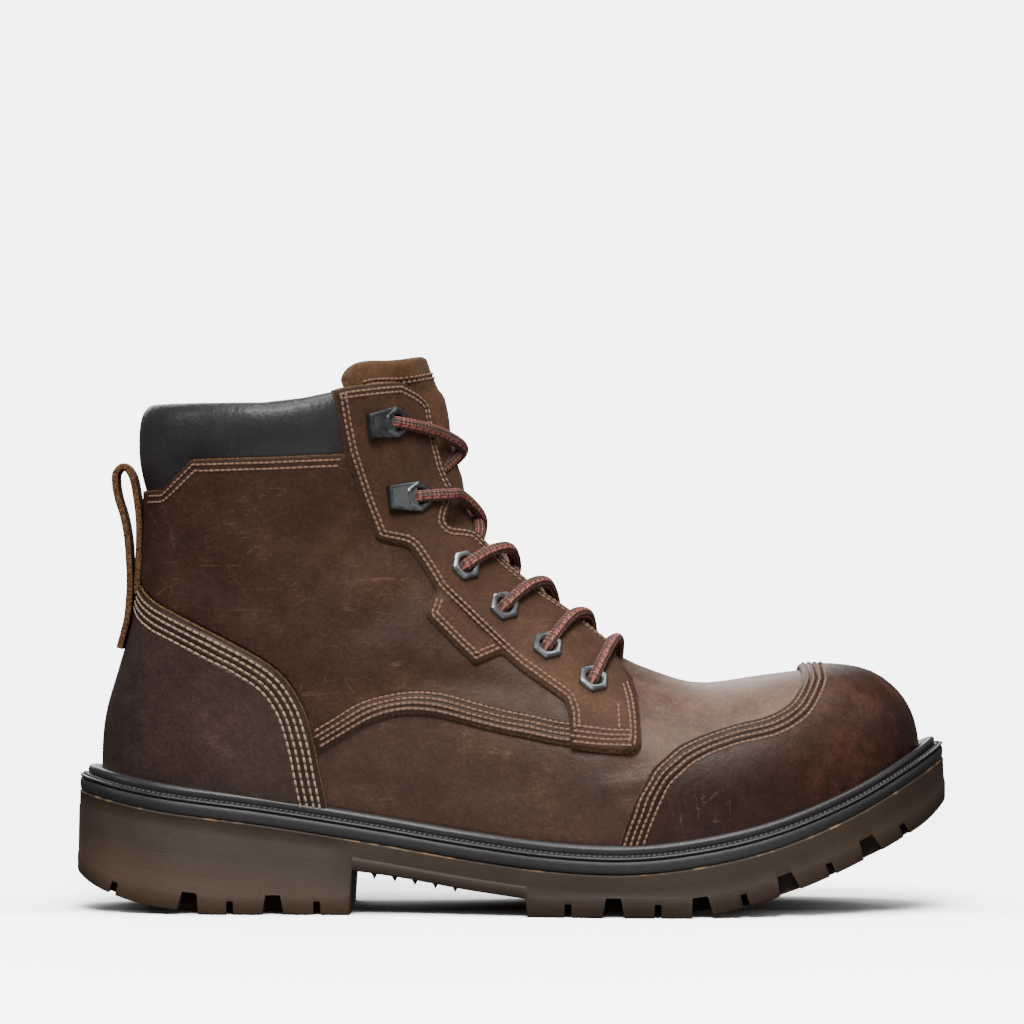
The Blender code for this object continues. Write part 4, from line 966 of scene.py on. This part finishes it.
COUNTER_LEATHER = leather("counter_burnished_leather", "2a1e1b", "42312b", "655149", "8a6846", 0.44, 0.1,
                          rows=COUNTER_ROWS)
PALE_THREAD = cotton_thread("waxed_pale_thread", "75604f", "b59c84")
counter_rows = []
for word, side in SIDES:
    line = side_line(COUNTER_EDGE, side)
    line[0, 1] = side
    low_line = straight((line[-1, 0], side), (line[0, 0], side), 150)
    panel(f"heel_counter_{word}", np.vstack([line, low_line[1:-1]]), 0.0, COUNTER_THICKNESS, COUNTER_LEATHER,
          ["heel_counter"], "cap_leather", COUNTER_TONE, lambda uv: np.abs(uv[:, 1]) < LOW_END, seams=[line],
          hem=lambda uv: (np.abs(uv[:, 1]) > LOW_END) & (uv[:, 0] < HEM_SECTIONS))
    counter_rows += rows_along(line[1:-2], [-row for row in COUNTER_ROWS], side, COUNTER_THICKNESS)
stitches("heel_counter_stitching", counter_rows, PALE_THREAD, 2.8, 2.7, slot="cap_leather")

# Quarters. A softer, scuffed panel on each side carries the shaft, from the counter to the vamp. Four rows run
# along its lower edge and two under the collar.
QUARTER_LOW = (
    (-68.2, 56.3), (-59.4, 61.6), (-50.2, 66.9), (-42, 69.4), (-34.8, 70.2), (-25.6, 69.3), (-14.3, 66.3),
    (-4, 63.7), (5, 62), (16.8, 59.6), (30, 58.5), (42.0, 57.8),
)
QUARTER_FRONT = ((44.6, 59.6), (45, 62), (44.8, 70), (44, 76), (42.6, 81))
QUARTER_ROWS, COLLAR_ROWS = (1.8, 3.7, 5.5, 7.4), (2.0, 4.2)
QUARTER_THICKNESS = 1.7
QUARTER_FROM, QUARTER_STEP = 9.15, 1.4  # section where its front edge starts, and its step behind the eyestay's
COUNTER_LAP = 0.8
QUARTER_TONE = patchy(
    0.4, (0.22, -62, 128, 24, 16), (0.14, -40, 78, 30, 8), (-0.12, -100, 118, 30, 16), (-0.12, -40, 97, 22, 12))

QUARTER_LEATHER = leather(
    "quarter_oiled_leather", "271813", "3e281e", "624233", "7d5a3c", 0.5, 0.48, rows=QUARTER_ROWS)
quarter_rows = []
for word, side in SIDES:
    low_line, front = side_line(QUARTER_LOW, side), side_line(QUARTER_FRONT, side)
    edge = walk(front_edge(side, QUARTER_FROM), -QUARTER_STEP, side)[::-1]
    seam = side_line(COLLAR_SEAM, side, smooth=False)
    seam[-1, 1] = side
    behind = walk(side_line(COUNTER_EDGE[:-3], side), COUNTER_LAP, side)
    behind[0, 1] = side
    back_line = straight((seam[-1, 0], side), (behind[0, 0], side), 24)
    outline = np.vstack([low_line, front, edge, seam, back_line[1:-1], behind])
    panel(f"quarter_panel_{word}", outline, 0.0, QUARTER_THICKNESS, QUARTER_LEATHER, [f"quarter_{word}"],
          "quarter_leather", QUARTER_TONE, lambda uv: np.abs(uv[:, 1]) < LOW_END, seams=[low_line],
          grazed=patchy(0.0, (0.7, -60, 78, 16, 7)))
    quarter_rows += rows_along(low_line[2:], QUARTER_ROWS, side, QUARTER_THICKNESS)
    quarter_rows += rows_along(seam[2:-3], COLLAR_ROWS, side, QUARTER_THICKNESS)
stitches("quarter_stitching", quarter_rows, THREAD, slot="quarter_leather")

# Eyestays. A thicker nubuck strip on each side of the throat carries the lace holes, with a bare tab on its rear
# edge. Two rows run round it.
EYESTAY_REAR = (
    (19.9, 60.2), (19.8, 66), (19.6, 71), (18.1, 75.2), (14.5, 77.8), (10.1, 80.7), (2.1, 86.3), (-3.0, 91.1),
    (-4.2, 91.3), (-12.2, 87.6), (-13.4, 87.6), (-29.7, 104), (-30.3, 105.4), (-28.2, 111.2), (-26.3, 113.4),
    (-29.7, 119), (-35.2, 127.4), (-37, 129), (-46, 130.9), (-47.6, 132), (-52.3, 143.8), (-58.1, 161.5),
    (-60.4, 173), (-61.9, 182.2),
)
TAB = slice(8, 14)  # its part of the rear edge
EYESTAY_FRONT = ((42.4, 81), (44, 76), (44.8, 70), (45, 62), (44.4, 59.4), (42.0, 57.8))
EYESTAY_LOW = ((41, 57.7), (30, 58.4), (20.3, 59.3))
SHORT_ROW = ((37.2, 73.4), (37.5, 66))
EYESTAY_ROWS = (2.0, 3.7)
EYESTAY_FROM = 9.2  # section where its front edge starts
EYESTAY_TONE = patchy(0.44, (0.16, 20, 80, 30, 12), (-0.12, -45, 150, 14, 12))

NUBUCK = leather("eyestay_waxed_nubuck", "2b1b12", "462e20", "6c4a33", "7a5738", 0.66, 0.25, 0.05, EYESTAY_ROWS)
eyestay_rows = []
for word, side in SIDES:
    rear, below_tab, tab, above_tab = (
        side_line(rows, side, smooth=False, lift=EYESTAY_FACE)
        for rows in (EYESTAY_REAR, EYESTAY_REAR[: TAB.start], EYESTAY_REAR[TAB], EYESTAY_REAR[TAB.stop :]))
    edge = front_edge(side, EYESTAY_FROM)
    front, low_line, short = (
        side_line(rows, side, lift=EYESTAY_FACE) for rows in (EYESTAY_FRONT, EYESTAY_LOW, SHORT_ROW))
    outline = np.vstack([rear, edge, front, low_line])
    panel(f"eyestay_panel_{word}", outline, EYESTAY_BACK, EYESTAY_FACE, [NUBUCK, LINING], [f"eyestay_{word}"],
          "eyestay_leather", EYESTAY_TONE, seams=[below_tab, tab, above_tab, edge, front])
    for line in (np.vstack([below_tab, above_tab])[4:], tab, edge[1:], front):
        eyestay_rows += rows_along(line, [-row for row in EYESTAY_ROWS], side, EYESTAY_FACE)
    eyestay_rows += rows_along(low_line, [-row for row in QUARTER_ROWS], side, EYESTAY_FACE)
    eyestay_rows += rows_along(short, (0.0,), side, EYESTAY_FACE)
stitches("eyestay_stitching", eyestay_rows, THREAD, slot="eyestay_leather")

# Collar. A foam roll in soft black leather goes round the back of the shaft between the two eyestays. It bulges over
# the quarters' top edge and turns down inside.
COLLAR_TOP = ((-150, 178.6), (-118, 179.2), (-86, 179.4), (-72, 181), (-60, 183.6))
COLLAR_PROFILE = (  # share of the height, distance off the shaft
    (-0.1, 0.1), (0.03, 0.5), (0.18, 1.7), (0.4, 2.8), (0.7, 2.7), (0.9, 1.3), (1.0, -1.9), (0.95, -5.6), (0.75, -7.4),
    (0.4, -7.5), (0.0, -6.6), (-0.2, -5.0),
)
COLLAR_END = (-56.4, 161.8, -0.18)  # x and z on the eyestay's edge, and how x goes with z there
COLLAR_LEVEL = 165  # height where its x is read
COLLAR_TAPER = 0.35  # how much thinner it is at the eyestay
SHAFT_FROM = 16  # lowest section that its lines are read from


def collar_hide():
    """Soft black leather, smooth with a fine grain and a grey sheen along the fold."""
    made, tree, shader, where, cloud = flecked(
        "collar_soft_black_leather", 0.42, "201e1f", "353233", 55.0, 4.0, Specular_IOR_Level=0.35)
    grain = add(tree, "TexVoronoi", {"Vector": where, "Scale": 900.0}, feature="SMOOTH_F1")[0]
    pulled = add(tree, "Mapping", {"Vector": where, "Scale": (260.0, 260.0, 40.0)})[0]
    bump(tree, shader, (noise(tree, pulled, 1.0, 2.0), 0.0004), (cloud, 0.0009), (grain, 0.00007))
    return made


def collar_end(side):
    """Heights along the collar's end at the eyestay, and how far round the shaft it lies at each."""
    heights = np.linspace(150, 186, 10)
    at_x, at_z, lean = COLLAR_END
    return heights, [1 - abs(place(at_x + (z - at_z) * lean, z, side)[1]) for z in heights]


def collar_ring(share, side, ends):
    """A cross section of the collar, from 0 at the back to 1 at the eyestay."""
    seam, top = np.array(COLLAR_SEAM[::-1], float), np.array(COLLAR_TOP, float)
    shaft = np.concatenate([LAST, LAST_NORMALS], axis=2)[SHAFT_FROM * SPAN_STEPS :]
    ring = []
    for high_share, off in spline(COLLAR_PROFILE, 4, closed=True):
        v = -1 + share * 0.75
        for _ in range(3):
            j = (v + 1) * HALF_STEPS if side < 0 else (1 - v) * HALF_STEPS
            low = int(min(j, 2 * HALF_STEPS - 1))
            part = j - low
            line = shaft[:, low] * (1 - part) + shaft[:, low + 1] * part
            x = np.interp(COLLAR_LEVEL, line[:, 2], line[:, 0])
            bottom = np.interp(x, seam[:, 0], seam[:, 1]) - 1.0
            z = bottom + high_share * (np.interp(x, top[:, 0], top[:, 1]) - bottom)
            v = -1 + share * np.interp(z, *ends)
        at = np.array([np.interp(z, line[:, 2], values) for values in line.T])
        ring.append(at[:3] + off * (1 - COLLAR_TAPER * share**8) * at[3:])
    return ring


shares = np.concatenate([np.linspace(1, 0.06, 44), [0.0]])
lateral_end, medial_end = collar_end(-1), collar_end(1)
rings = [collar_ring(s, -1, lateral_end) for s in shares]
rings += [collar_ring(s, 1, medial_end) for s in shares[-2::-1]]
collar = piece("collar_roll", *tube(rings), collar_hide(), ["collar"], "collar_leather", sharp=70)

# Tongue. A padded nubuck tongue fills the throat behind the laces. Its top stands above the eyestays, with a
# stitched band across it.
TONGUE_BACK = ((44, 73), (30, 78), (0, 93), (-20, 109), (-42, 133), (-50, 158), (-55.5, 182))
TONGUE_TOP = (
    (-57.6, 187.6), (-56.6, 190.2), (-54, 192.8), (-49.8, 194.6), (-43.6, 195.4), (-37.8, 195.6), (-33.5, 196.3),
)
TONGUE_SUNK = -3.7  # its edges under the eyestays, off the upper's face
# How far the tongue's middle stands off the upper's face at each section: sunk under the laces, padded at the top
TONGUE_CREST = (
    (9.1, -3.7), (10, -2.5), (12.5, -2.8), (13.2, -2.2), (14, 0.6), (14.6, 2.1), (17, 3.0), (18.6, 4.7), (19.5, 5.3),
    (20.4, 5.5), (20.8, 4.0), (22, 2.6), (23, 2.2),
)
TONGUE_HALF = ((9, 7), (12, 12.5), (19, 12), (21, 14), (22.5, 22))  # half the crown's width at each section
TONGUE_THICKNESS = 4.8
TONGUE_SEAM = ((-37.2, 195.2), (-36.4, 188), (-34.6, 181))
TONGUE_ROWS, BAND_SEAM = (7.2, 8.8), 16.0  # below its top edge
TONGUE_TONE = patchy(0.5, (0.15, -45, 194, 12, 6))


def tongue_lift(uv, points):
    """How far the tongue's face stands off the upper's face: low under the eyestays, crowned in the throat."""
    crest_y = surface(np.stack([uv[:, 0], np.zeros(len(uv))], axis=1))[0][:, 1]
    half_width = lookup(TONGUE_HALF, uv[:, 0])
    crown = np.clip(1 - np.abs((points[:, 1] - crest_y) / half_width) ** 2.6, 0, None)
    return TONGUE_SUNK + (lookup(TONGUE_CREST, uv[:, 0]) - TONGUE_SUNK) * crown


TONGUE_LEATHER = leather("tongue_waxed_nubuck", "2f1f14", "4e3522", "745136", "6d5236", 0.66, 0.25, 0.05, (0.0,))
backs, tops, tongue_seams = (
    [side_line(rows, side) for _, side in SIDES] for rows in (TONGUE_BACK, TONGUE_TOP, TONGUE_SEAM))
low_line, over = straight(backs[1][0], backs[0][0], 30), straight(tops[0][-1], tops[1][-1], 30)
outline = np.vstack([backs[0][3:], tops[0], over[1:-1], tops[1][::-1], backs[1][:2:-1], low_line[3:-3]])
crown_line = np.vstack([tops[0][6:], over[1:-1], tops[1][::-1][:-6]])
tongue_seams.append(walk(crown_line, -BAND_SEAM))
tongue = panel("tongue_pad", outline, lambda uv, points: tongue_lift(uv, points) - TONGUE_THICKNESS, tongue_lift,
               [TONGUE_LEATHER, LINING], ["tongue"], "tongue_leather", TONGUE_TONE, None, 2.2, PAD_ROUND, tongue_seams)
tongue_rows = []
for drop in TONGUE_ROWS:
    line = walk(crown_line, -drop)
    points, normals = surface(line)
    tongue_rows.append((points + normals * tongue_lift(line, points)[:, None], normals))
stitches("tongue_stitching", tongue_rows, THREAD, slot="tongue_leather")

# Pull loop. One strip of thick leather stands off the back of the heel, with pale fibrous cut edges. Its inner end goes
# in behind the counter's edge, and the outer end lies on the counter.
LOOP_PATH = (
    (-133.3, 112), (-133.2, 117), (-132.8, 123), (-132.6, 137), (-133.7, 147), (-135.2, 153.8), (-138.1, 157.2),
    (-140.9, 154.8), (-141.0, 150.4), (-140.0, 145.3), (-138.2, 139.5), (-136.8, 132), (-136.2, 124), (-135.9, 117),
    (-136.2, 110), (-137.0, 102.5), (-139.6, 92.5),
)
path = spline(LOOP_PATH, 8)
runs = np.gradient(path, axis=0)
runs /= np.linalg.norm(runs, axis=1)[:, None]
edge_profile = ((-8.5, -0.7), (-8.2, -1.1), (-7.6, -1.2), (0, -1.2), (7.6, -1.2), (8.2, -1.1), (8.5, -0.7))
strip = (*edge_profile, *((a, -b) for a, b in edge_profile[::-1]))
rings = [[(p[0] - run[1] * b, a, p[1] + run[0] * b) for a, b in strip] for p, run in zip(path, runs)]
points, faces = tube(rings)
rim = np.tile([1.0, 0.8, 0.2, 0.0, 0.2, 0.8, 1.0], 2 * len(path))
LOOP_LEATHER = leather("loop_oiled_leather", "2a1c13", "432d1e", "5f442f", "6f4c30", 0.6, 0.3)
piece("heel_pull_loop", points, faces, LOOP_LEATHER, ["pull_loop"], "loop_leather",
      {"rim": rim, "tone": np.full(len(points), 0.45)}, sharp=60)

# Lace hardware. Four hexagonal eyelets and two pressed hooks a side, in dark plated metal with worn bright edges. Each
# sits in a hole of the eyestay, and the hooks' plates point to the rear.
EYELETS = ((28.8, 83.1), (12.7, 94.7), (-2.4, 108.4), (-15.9, 122.6))
HOOKS = ((-32.4, 146.6), (-40.2, 172.6))
HOLE_LIFT = EYESTAY_FACE + 1.5  # what shows in the middle of a hole, off the upper's face
METAL_SEAT = EYESTAY_FACE + 0.3
EYELET_LEAN, HOOK_LEAN = (-1.0, 0, 0.15), (-1.0, 0, -0.12)
HOOK_PLATE = ((0.8, -5.4), (0.8, 5.4), (12.2, 4.2), (12.2, -4.2))  # along the hook, across it
HOOK_LEVELS = ((0, -0.3, 0), (0, 1.0, 0.7), (0.25, 1.35, 0.7), (0.8, 1.4, 0.7), (1.1, 1.15, 0.7))  # inset, height, rise
NUT_LEVELS = (  # radius, share of the hexagon's shape, height
    (5.0, 1, -0.6), (5.0, 1, 0.9), (4.8, 1, 1.35), (4.2, 1, 1.75), (3.6, 0.3, 1.7), (3.1, 0, 1.3), (2.75, 0, 0.6),
    (2.7, 0, -3.0),
)


def plated_metal(name, dark, light):
    """Grey plating, rubbed to brighter metal in small patches."""
    made, tree, shader, _, worn = flecked(name, 0.28, dark, light, 300.0, 4.0, 0.6, Metallic=0.88)
    tree.links.new(ramp(tree, worn, 0.3, 0.7, 0.24, 0.4), shader.inputs["Roughness"])
    return made


def hole_axes(x, z, side, lean):
    """Middle of a lace hole on the upper's face, and axes along the metal, across it and off the face."""
    centre, off = (a[0] for a in surface(seat(x, z, side, HOLE_LIFT)[None]))
    first = lean - off * np.dot(lean, off)
    first /= np.linalg.norm(first)
    return centre, first, np.cross(off, first), off


def nut(centre, first, second, off):
    """Skin of the hexagonal ring in a lace hole."""
    angles = np.arange(48) * 2 * math.pi / 48
    hexagon = np.minimum(1 / np.cos((angles + math.pi / 6) % (math.pi / 3) - math.pi / 6), 1.12)
    rings = []
    for size, shaped, lift in NUT_LEVELS:
        radii = size * (hexagon * shaped + 1 - shaped)
        middle = centre + off * (METAL_SEAT + lift)
        rings.append([middle + r * (first * math.cos(a) + second * math.sin(a)) for r, a in zip(radii, angles)])
    return tube(rings, looped=True)


def hook_plate(centre, first, second, off):
    """Skin of a hook's pressed plate, which rises away from the hole."""
    rings = []
    for inset, lift, rise in HOOK_LEVELS:
        ring = []
        for p, q in HOOK_PLATE:
            p, q = p + inset * (1 if p < 5 else -1), q - inset * np.sign(q)
            ring.append(centre + first * p + second * q + off * (METAL_SEAT + lift + rise * (p - 0.6) / 10.8))
        rings.append(ring)
    return tube(rings)


EYELET_METAL = plated_metal("nickel_plated_brass", "66696c", "9c9fa2")
HOOK_METAL = plated_metal("gunmetal_plated_steel", "404243", "727476")
for word, side in SIDES:
    for number, (x, z) in enumerate(EYELETS, 1):
        piece(f"hex_eyelet_{word}_{number}", *nut(*hole_axes(x, z, side, EYELET_LEAN)), EYELET_METAL,
              [f"eyelet_{word}_{number}"], "hardware", sharp=25)
    for number, (x, z) in enumerate(HOOKS, 1):
        axes = hole_axes(x, z, side, HOOK_LEAN)
        piece(f"lace_hook_{word}_{number}", *join([nut(*axes), hook_plate(*axes)]), HOOK_METAL,
              [f"hook_{word}_{number}"], "hardware", sharp=25)

# Lace. A round braided cord in dark brown with coral tracers. It lies straight across the lowest eyelets, then
# each side crosses down to the hole below on the other side. Both ends finish inside, behind the top hooks.
LACE_RADIUS, LACE_STEP, LACE_SIDES = 2.15, 0.7, 20
LACE_REST = EYESTAY_FACE + LACE_RADIUS + 0.2  # the cord's middle where it lies on the eyestay


def braid():
    """Braided cord: brown plaits with coral yarns that show as two lines and as flecks between them."""
    made, tree, shader, where = new_material("braided_lace", 0.8)
    along, around = (add(tree, "Attribute", attribute_name=key)["Fac"] for key in ("along", "around"))
    plaits = []
    for turns in (5.0, -5.0):
        phase = maths(tree, "MULTIPLY_ADD", along, 2.1, maths(tree, "MULTIPLY", around, turns))
        plaits.append(maths(tree, "SINE", phase))
    knots = maths(tree, "MULTIPLY_ADD", maths(tree, "MULTIPLY", *plaits), 0.5, 0.5)
    line = maths(tree, "ABSOLUTE", maths(tree, "COSINE", maths(tree, "MULTIPLY", around, 2.0)))
    line = maths(tree, "MULTIPLY", ramp(tree, line, 0.9, 0.98), ramp(tree, plaits[0], -1.0, 0.4, 0.1, 0.8))
    shown = ramp(tree, noise(tree, where, 260.0, 1.0), 0.44, 0.56, 0.0, 0.85)
    fleck = maths(tree, "MULTIPLY", ramp(tree, knots, 0.7, 0.85), shown)
    body = mix(tree, knots, "271a17", "64473c")
    body = mix(tree, maths(tree, "MAXIMUM", line, fleck), body, "be645c")
    tree.links.new(body, shader.inputs["Base Color"])
    bump(tree, shader, (knots, 0.0004))
    return made


def on_throat(u, y, lift):
    """Point off the face at a section number and a y near the crest."""
    v = np.linspace(-0.75, 0.75, 121)
    points, normals = surface(np.stack([np.full(121, u), v], axis=1))
    at = np.array([np.interp(y, points[:, 1], values) for values in (*points.T, *normals.T)])
    return at[:3] + lift * at[3:]


def cord(path):
    """Skin of a cord through the points, with the length along it and the turn round it at each point."""
    path = even(spline(path, 12), LACE_STEP)[0]
    runs = np.gradient(path, axis=0)
    runs /= np.linalg.norm(runs, axis=1)[:, None]
    side = np.cross(runs[0], (0.2, 1.0, 0.3))
    rings = []
    angles = np.arange(LACE_SIDES) * 2 * math.pi / LACE_SIDES
    for point, run in zip(path, runs):
        side = side - run * np.dot(side, run)
        side /= np.linalg.norm(side)
        other = np.cross(run, side)
        rings.append([point + LACE_RADIUS * (side * math.cos(a) + other * math.sin(a)) for a in angles])
    return tube(rings), np.repeat(np.arange(len(path)) * LACE_STEP, LACE_SIDES), np.tile(angles, len(path))


BRAID = braid()
holes = EYELETS + HOOKS
seats = {side: [seat(x, z, side, HOLE_LIFT) for x, z in holes] for _, side in SIDES}
hole_u = [uv[0] for uv in seats[-1]]
for number in range(len(holes)):
    under = max(number - 1, 0)
    # Crossings lie near the hole below, the bar half a section under its own holes
    share = 0.88 if number < len(EYELETS) else 0.86
    middle = hole_u[number] * (1 - share) + hole_u[under] * share - (0 if number else 0.5)
    # The lower hooks' strands fall into the notch
    drop, lean = (3.6, 0.62) if number == len(EYELETS) else (0.9, 0.75)
    ridge = surface(np.array([[middle, 0.0]]))[0][0, 1]
    paths = []
    for _, side in SIDES:
        uv = seats[side][number]
        centre, normal = (a[0] for a in surface(uv[None]))
        edge_u = uv[0] * 0.4 + middle * 0.6
        edge_y = ridge + side * min(lookup(THROAT, edge_u), 14.0)
        far_y = ridge - side * (lookup(THROAT, hole_u[under]) - LACE_RADIUS - 1.0)
        paths.append([
            centre - normal * 1.5, centre + normal * (EYESTAY_FACE + 1.0),
            on_throat(uv[0] * lean + middle * (1 - lean), centre[1] * 0.45 + edge_y * 0.55, LACE_REST),
            on_throat(edge_u, edge_y * 0.8 + ridge * 0.2, LACE_REST - drop),
            on_throat(middle, ridge, lookup(TONGUE_CREST, middle) + LACE_RADIUS - 0.9 * side),
            on_throat(hole_u[under] * 0.9 + middle * 0.1, far_y, -1.2),
            on_throat(hole_u[under], far_y - side * 6.0, -4.2),
        ])
    name, node = f"lace_crossing_{number + 1}", f"lace_cross_{number + 1}"
    if number == 0:
        name, node, paths = "lace_bar", "lace_bar_1", [paths[0][:5] + paths[1][3::-1]]
    skins, alongs, arounds = zip(*[cord(path) for path in paths])
    marks = {"along": np.concatenate(alongs), "around": np.concatenate(arounds)}
    piece(name, *join(skins), BRAID, [node], "lace_cord", marks, sharp=60)

# Studio. A pale floor, darkened behind the boot by a painted shadow, inside a bright round backdrop. Softboxes light
# the boot from the upper front, above, in front and behind, strips the toe and the heel, and a faint glow comes off the
# floor.
# The camera is square to the outer side.
SURROUND, SKY = 5.9, 0.11  # brightness of the backdrop and of the sky
ROUND, FLOOR_RADIUS, WALL_HEIGHT = 64, 3.2, 4  # sides of the circle, metres
CAMERA_PLACE, LENS, SENSOR = (0, -1.9, 0.141), 187.2, 36  # metres, millimetres
LAMPS = (  # power, size, place, aim
    ("key_softbox", 54, 0.8, (-0.1, -1.35, 1.6), (0, 0, 0.05)),
    ("top_softbox", 30, 1.0, (0.1, -0.1, 2.1), (0, 0, 0)),
    ("front_softbox", 3, 1.2, (0.5, -1.8, 0.9), (0, 0, 0.1)),
    ("rear_softbox", 20, 1.2, (-0.3, 1.7, 1.0), (0, 0, 0.1)),
    ("floor_bounce", 0.3, 0.3, (0, -0.22, 0.004), (0, -0.22, 1)),
    ("toe_strip", 3, 0.5, (1.3, -0.3, 0.8), (0.1, 0, 0.07)),
    ("heel_strip", 4, 0.5, (-1.3, -0.4, 0.8), (-0.1, 0, 0.1)),
)


def paper():
    """Matt white paper, lit brighter than the boot, with a painted shadow from ambient occlusion under and behind the
    boot, that fades into the backdrop.
    """
    made, tree, shader, where = new_material("backdrop_paper", 0.95)
    away = add(tree, "VectorMath", {0: where}, operation="LENGTH")["Value"]
    fade = ramp(tree, away, 0.35, 1.1, 0.0, SURROUND, interpolation_type="SMOOTHSTEP")
    dim = ramp(tree, away, 0.35, 1.1, 3.2, 0.0, interpolation_type="SMOOTHSTEP")
    # Painted shadow: the floor's colour is darkened by ambient occlusion under and behind the boot
    behind = ramp(tree, add(tree, "SeparateXYZ", {0: where})[1], -0.05, -0.01)
    sky = add(tree, "AmbientOcclusion", {"Distance": 0.22}, samples=12)["AO"]
    painted_shadow = maths(tree, "MULTIPLY", ramp(tree, sky, 0.2, 0.98, 0.82, 0.0), behind)
    dim = maths(tree, "MULTIPLY", dim, maths(tree, "SUBTRACT", 1.0, painted_shadow))
    lit = add(tree, "BsdfDiffuse", {"Color": dim})[0]
    glow = add(tree, "Emission", {"Strength": fade})[0]
    both = add(tree, "AddShader", {0: lit, 1: glow})[0]
    tree.nodes.remove(shader)
    tree.links.new(both, tree.nodes["Material Output"].inputs["Surface"])
    return made


def bright_wall():
    """Evenly lit white backdrop."""
    return new_material("backdrop_light", 1.0, Base_Color=(0, 0, 0, 1), Specular_IOR_Level=0.0,
                        Emission_Color=(1, 1, 1, 1), Emission_Strength=SURROUND)[0]


angles = np.arange(ROUND) * 2 * math.pi / ROUND
circle = [(FLOOR_RADIUS * math.cos(a), FLOOR_RADIUS * math.sin(a)) for a in angles]
for name, points, faces, finish in (
    ("floor", [(x, y, 0) for x, y in circle], [tuple(range(ROUND))], paper()),
    ("backdrop", [(x, y, z) for z in (0, WALL_HEIGHT) for x, y in circle],
     [(i, (i + 1) % ROUND, ROUND + (i + 1) % ROUND, ROUND + i) for i in range(ROUND)], bright_wall()),
):
    mesh = bpy.data.meshes.new(name)
    mesh.from_pydata(points, [], faces)
    mesh.materials.append(finish)
    obj = bpy.data.objects.new(name, mesh)
    bpy.context.scene.collection.objects.link(obj)
    obj.visible_diffuse = obj.visible_glossy = obj.visible_shadow = False

world = bpy.data.worlds.new("studio")
bpy.context.scene.world = world
world.use_nodes = True
world.node_tree.nodes["Background"].inputs["Color"].default_value = (1.0, 1.0, 1.0, 1)
world.node_tree.nodes["Background"].inputs["Strength"].default_value = SKY
for name, energy, size, spot, aim in LAMPS:
    lamp = bpy.data.lights.new(name, "AREA")
    lamp.energy, lamp.size = energy, size
    obj = bpy.data.objects.new(name, lamp)
    obj.location = spot
    obj.rotation_euler = (Vector(aim) - Vector(spot)).to_track_quat("-Z", "Y").to_euler()
    obj.visible_camera = False
    bpy.context.scene.collection.objects.link(obj)

camera = bpy.data.objects.new("camera", bpy.data.cameras.new("camera"))
camera.location = CAMERA_PLACE
camera.rotation_euler = (math.pi / 2, 0, 0)
camera.data.lens, camera.data.sensor_width = LENS, SENSOR
bpy.context.scene.collection.objects.link(camera)
bpy.context.scene.camera = camera
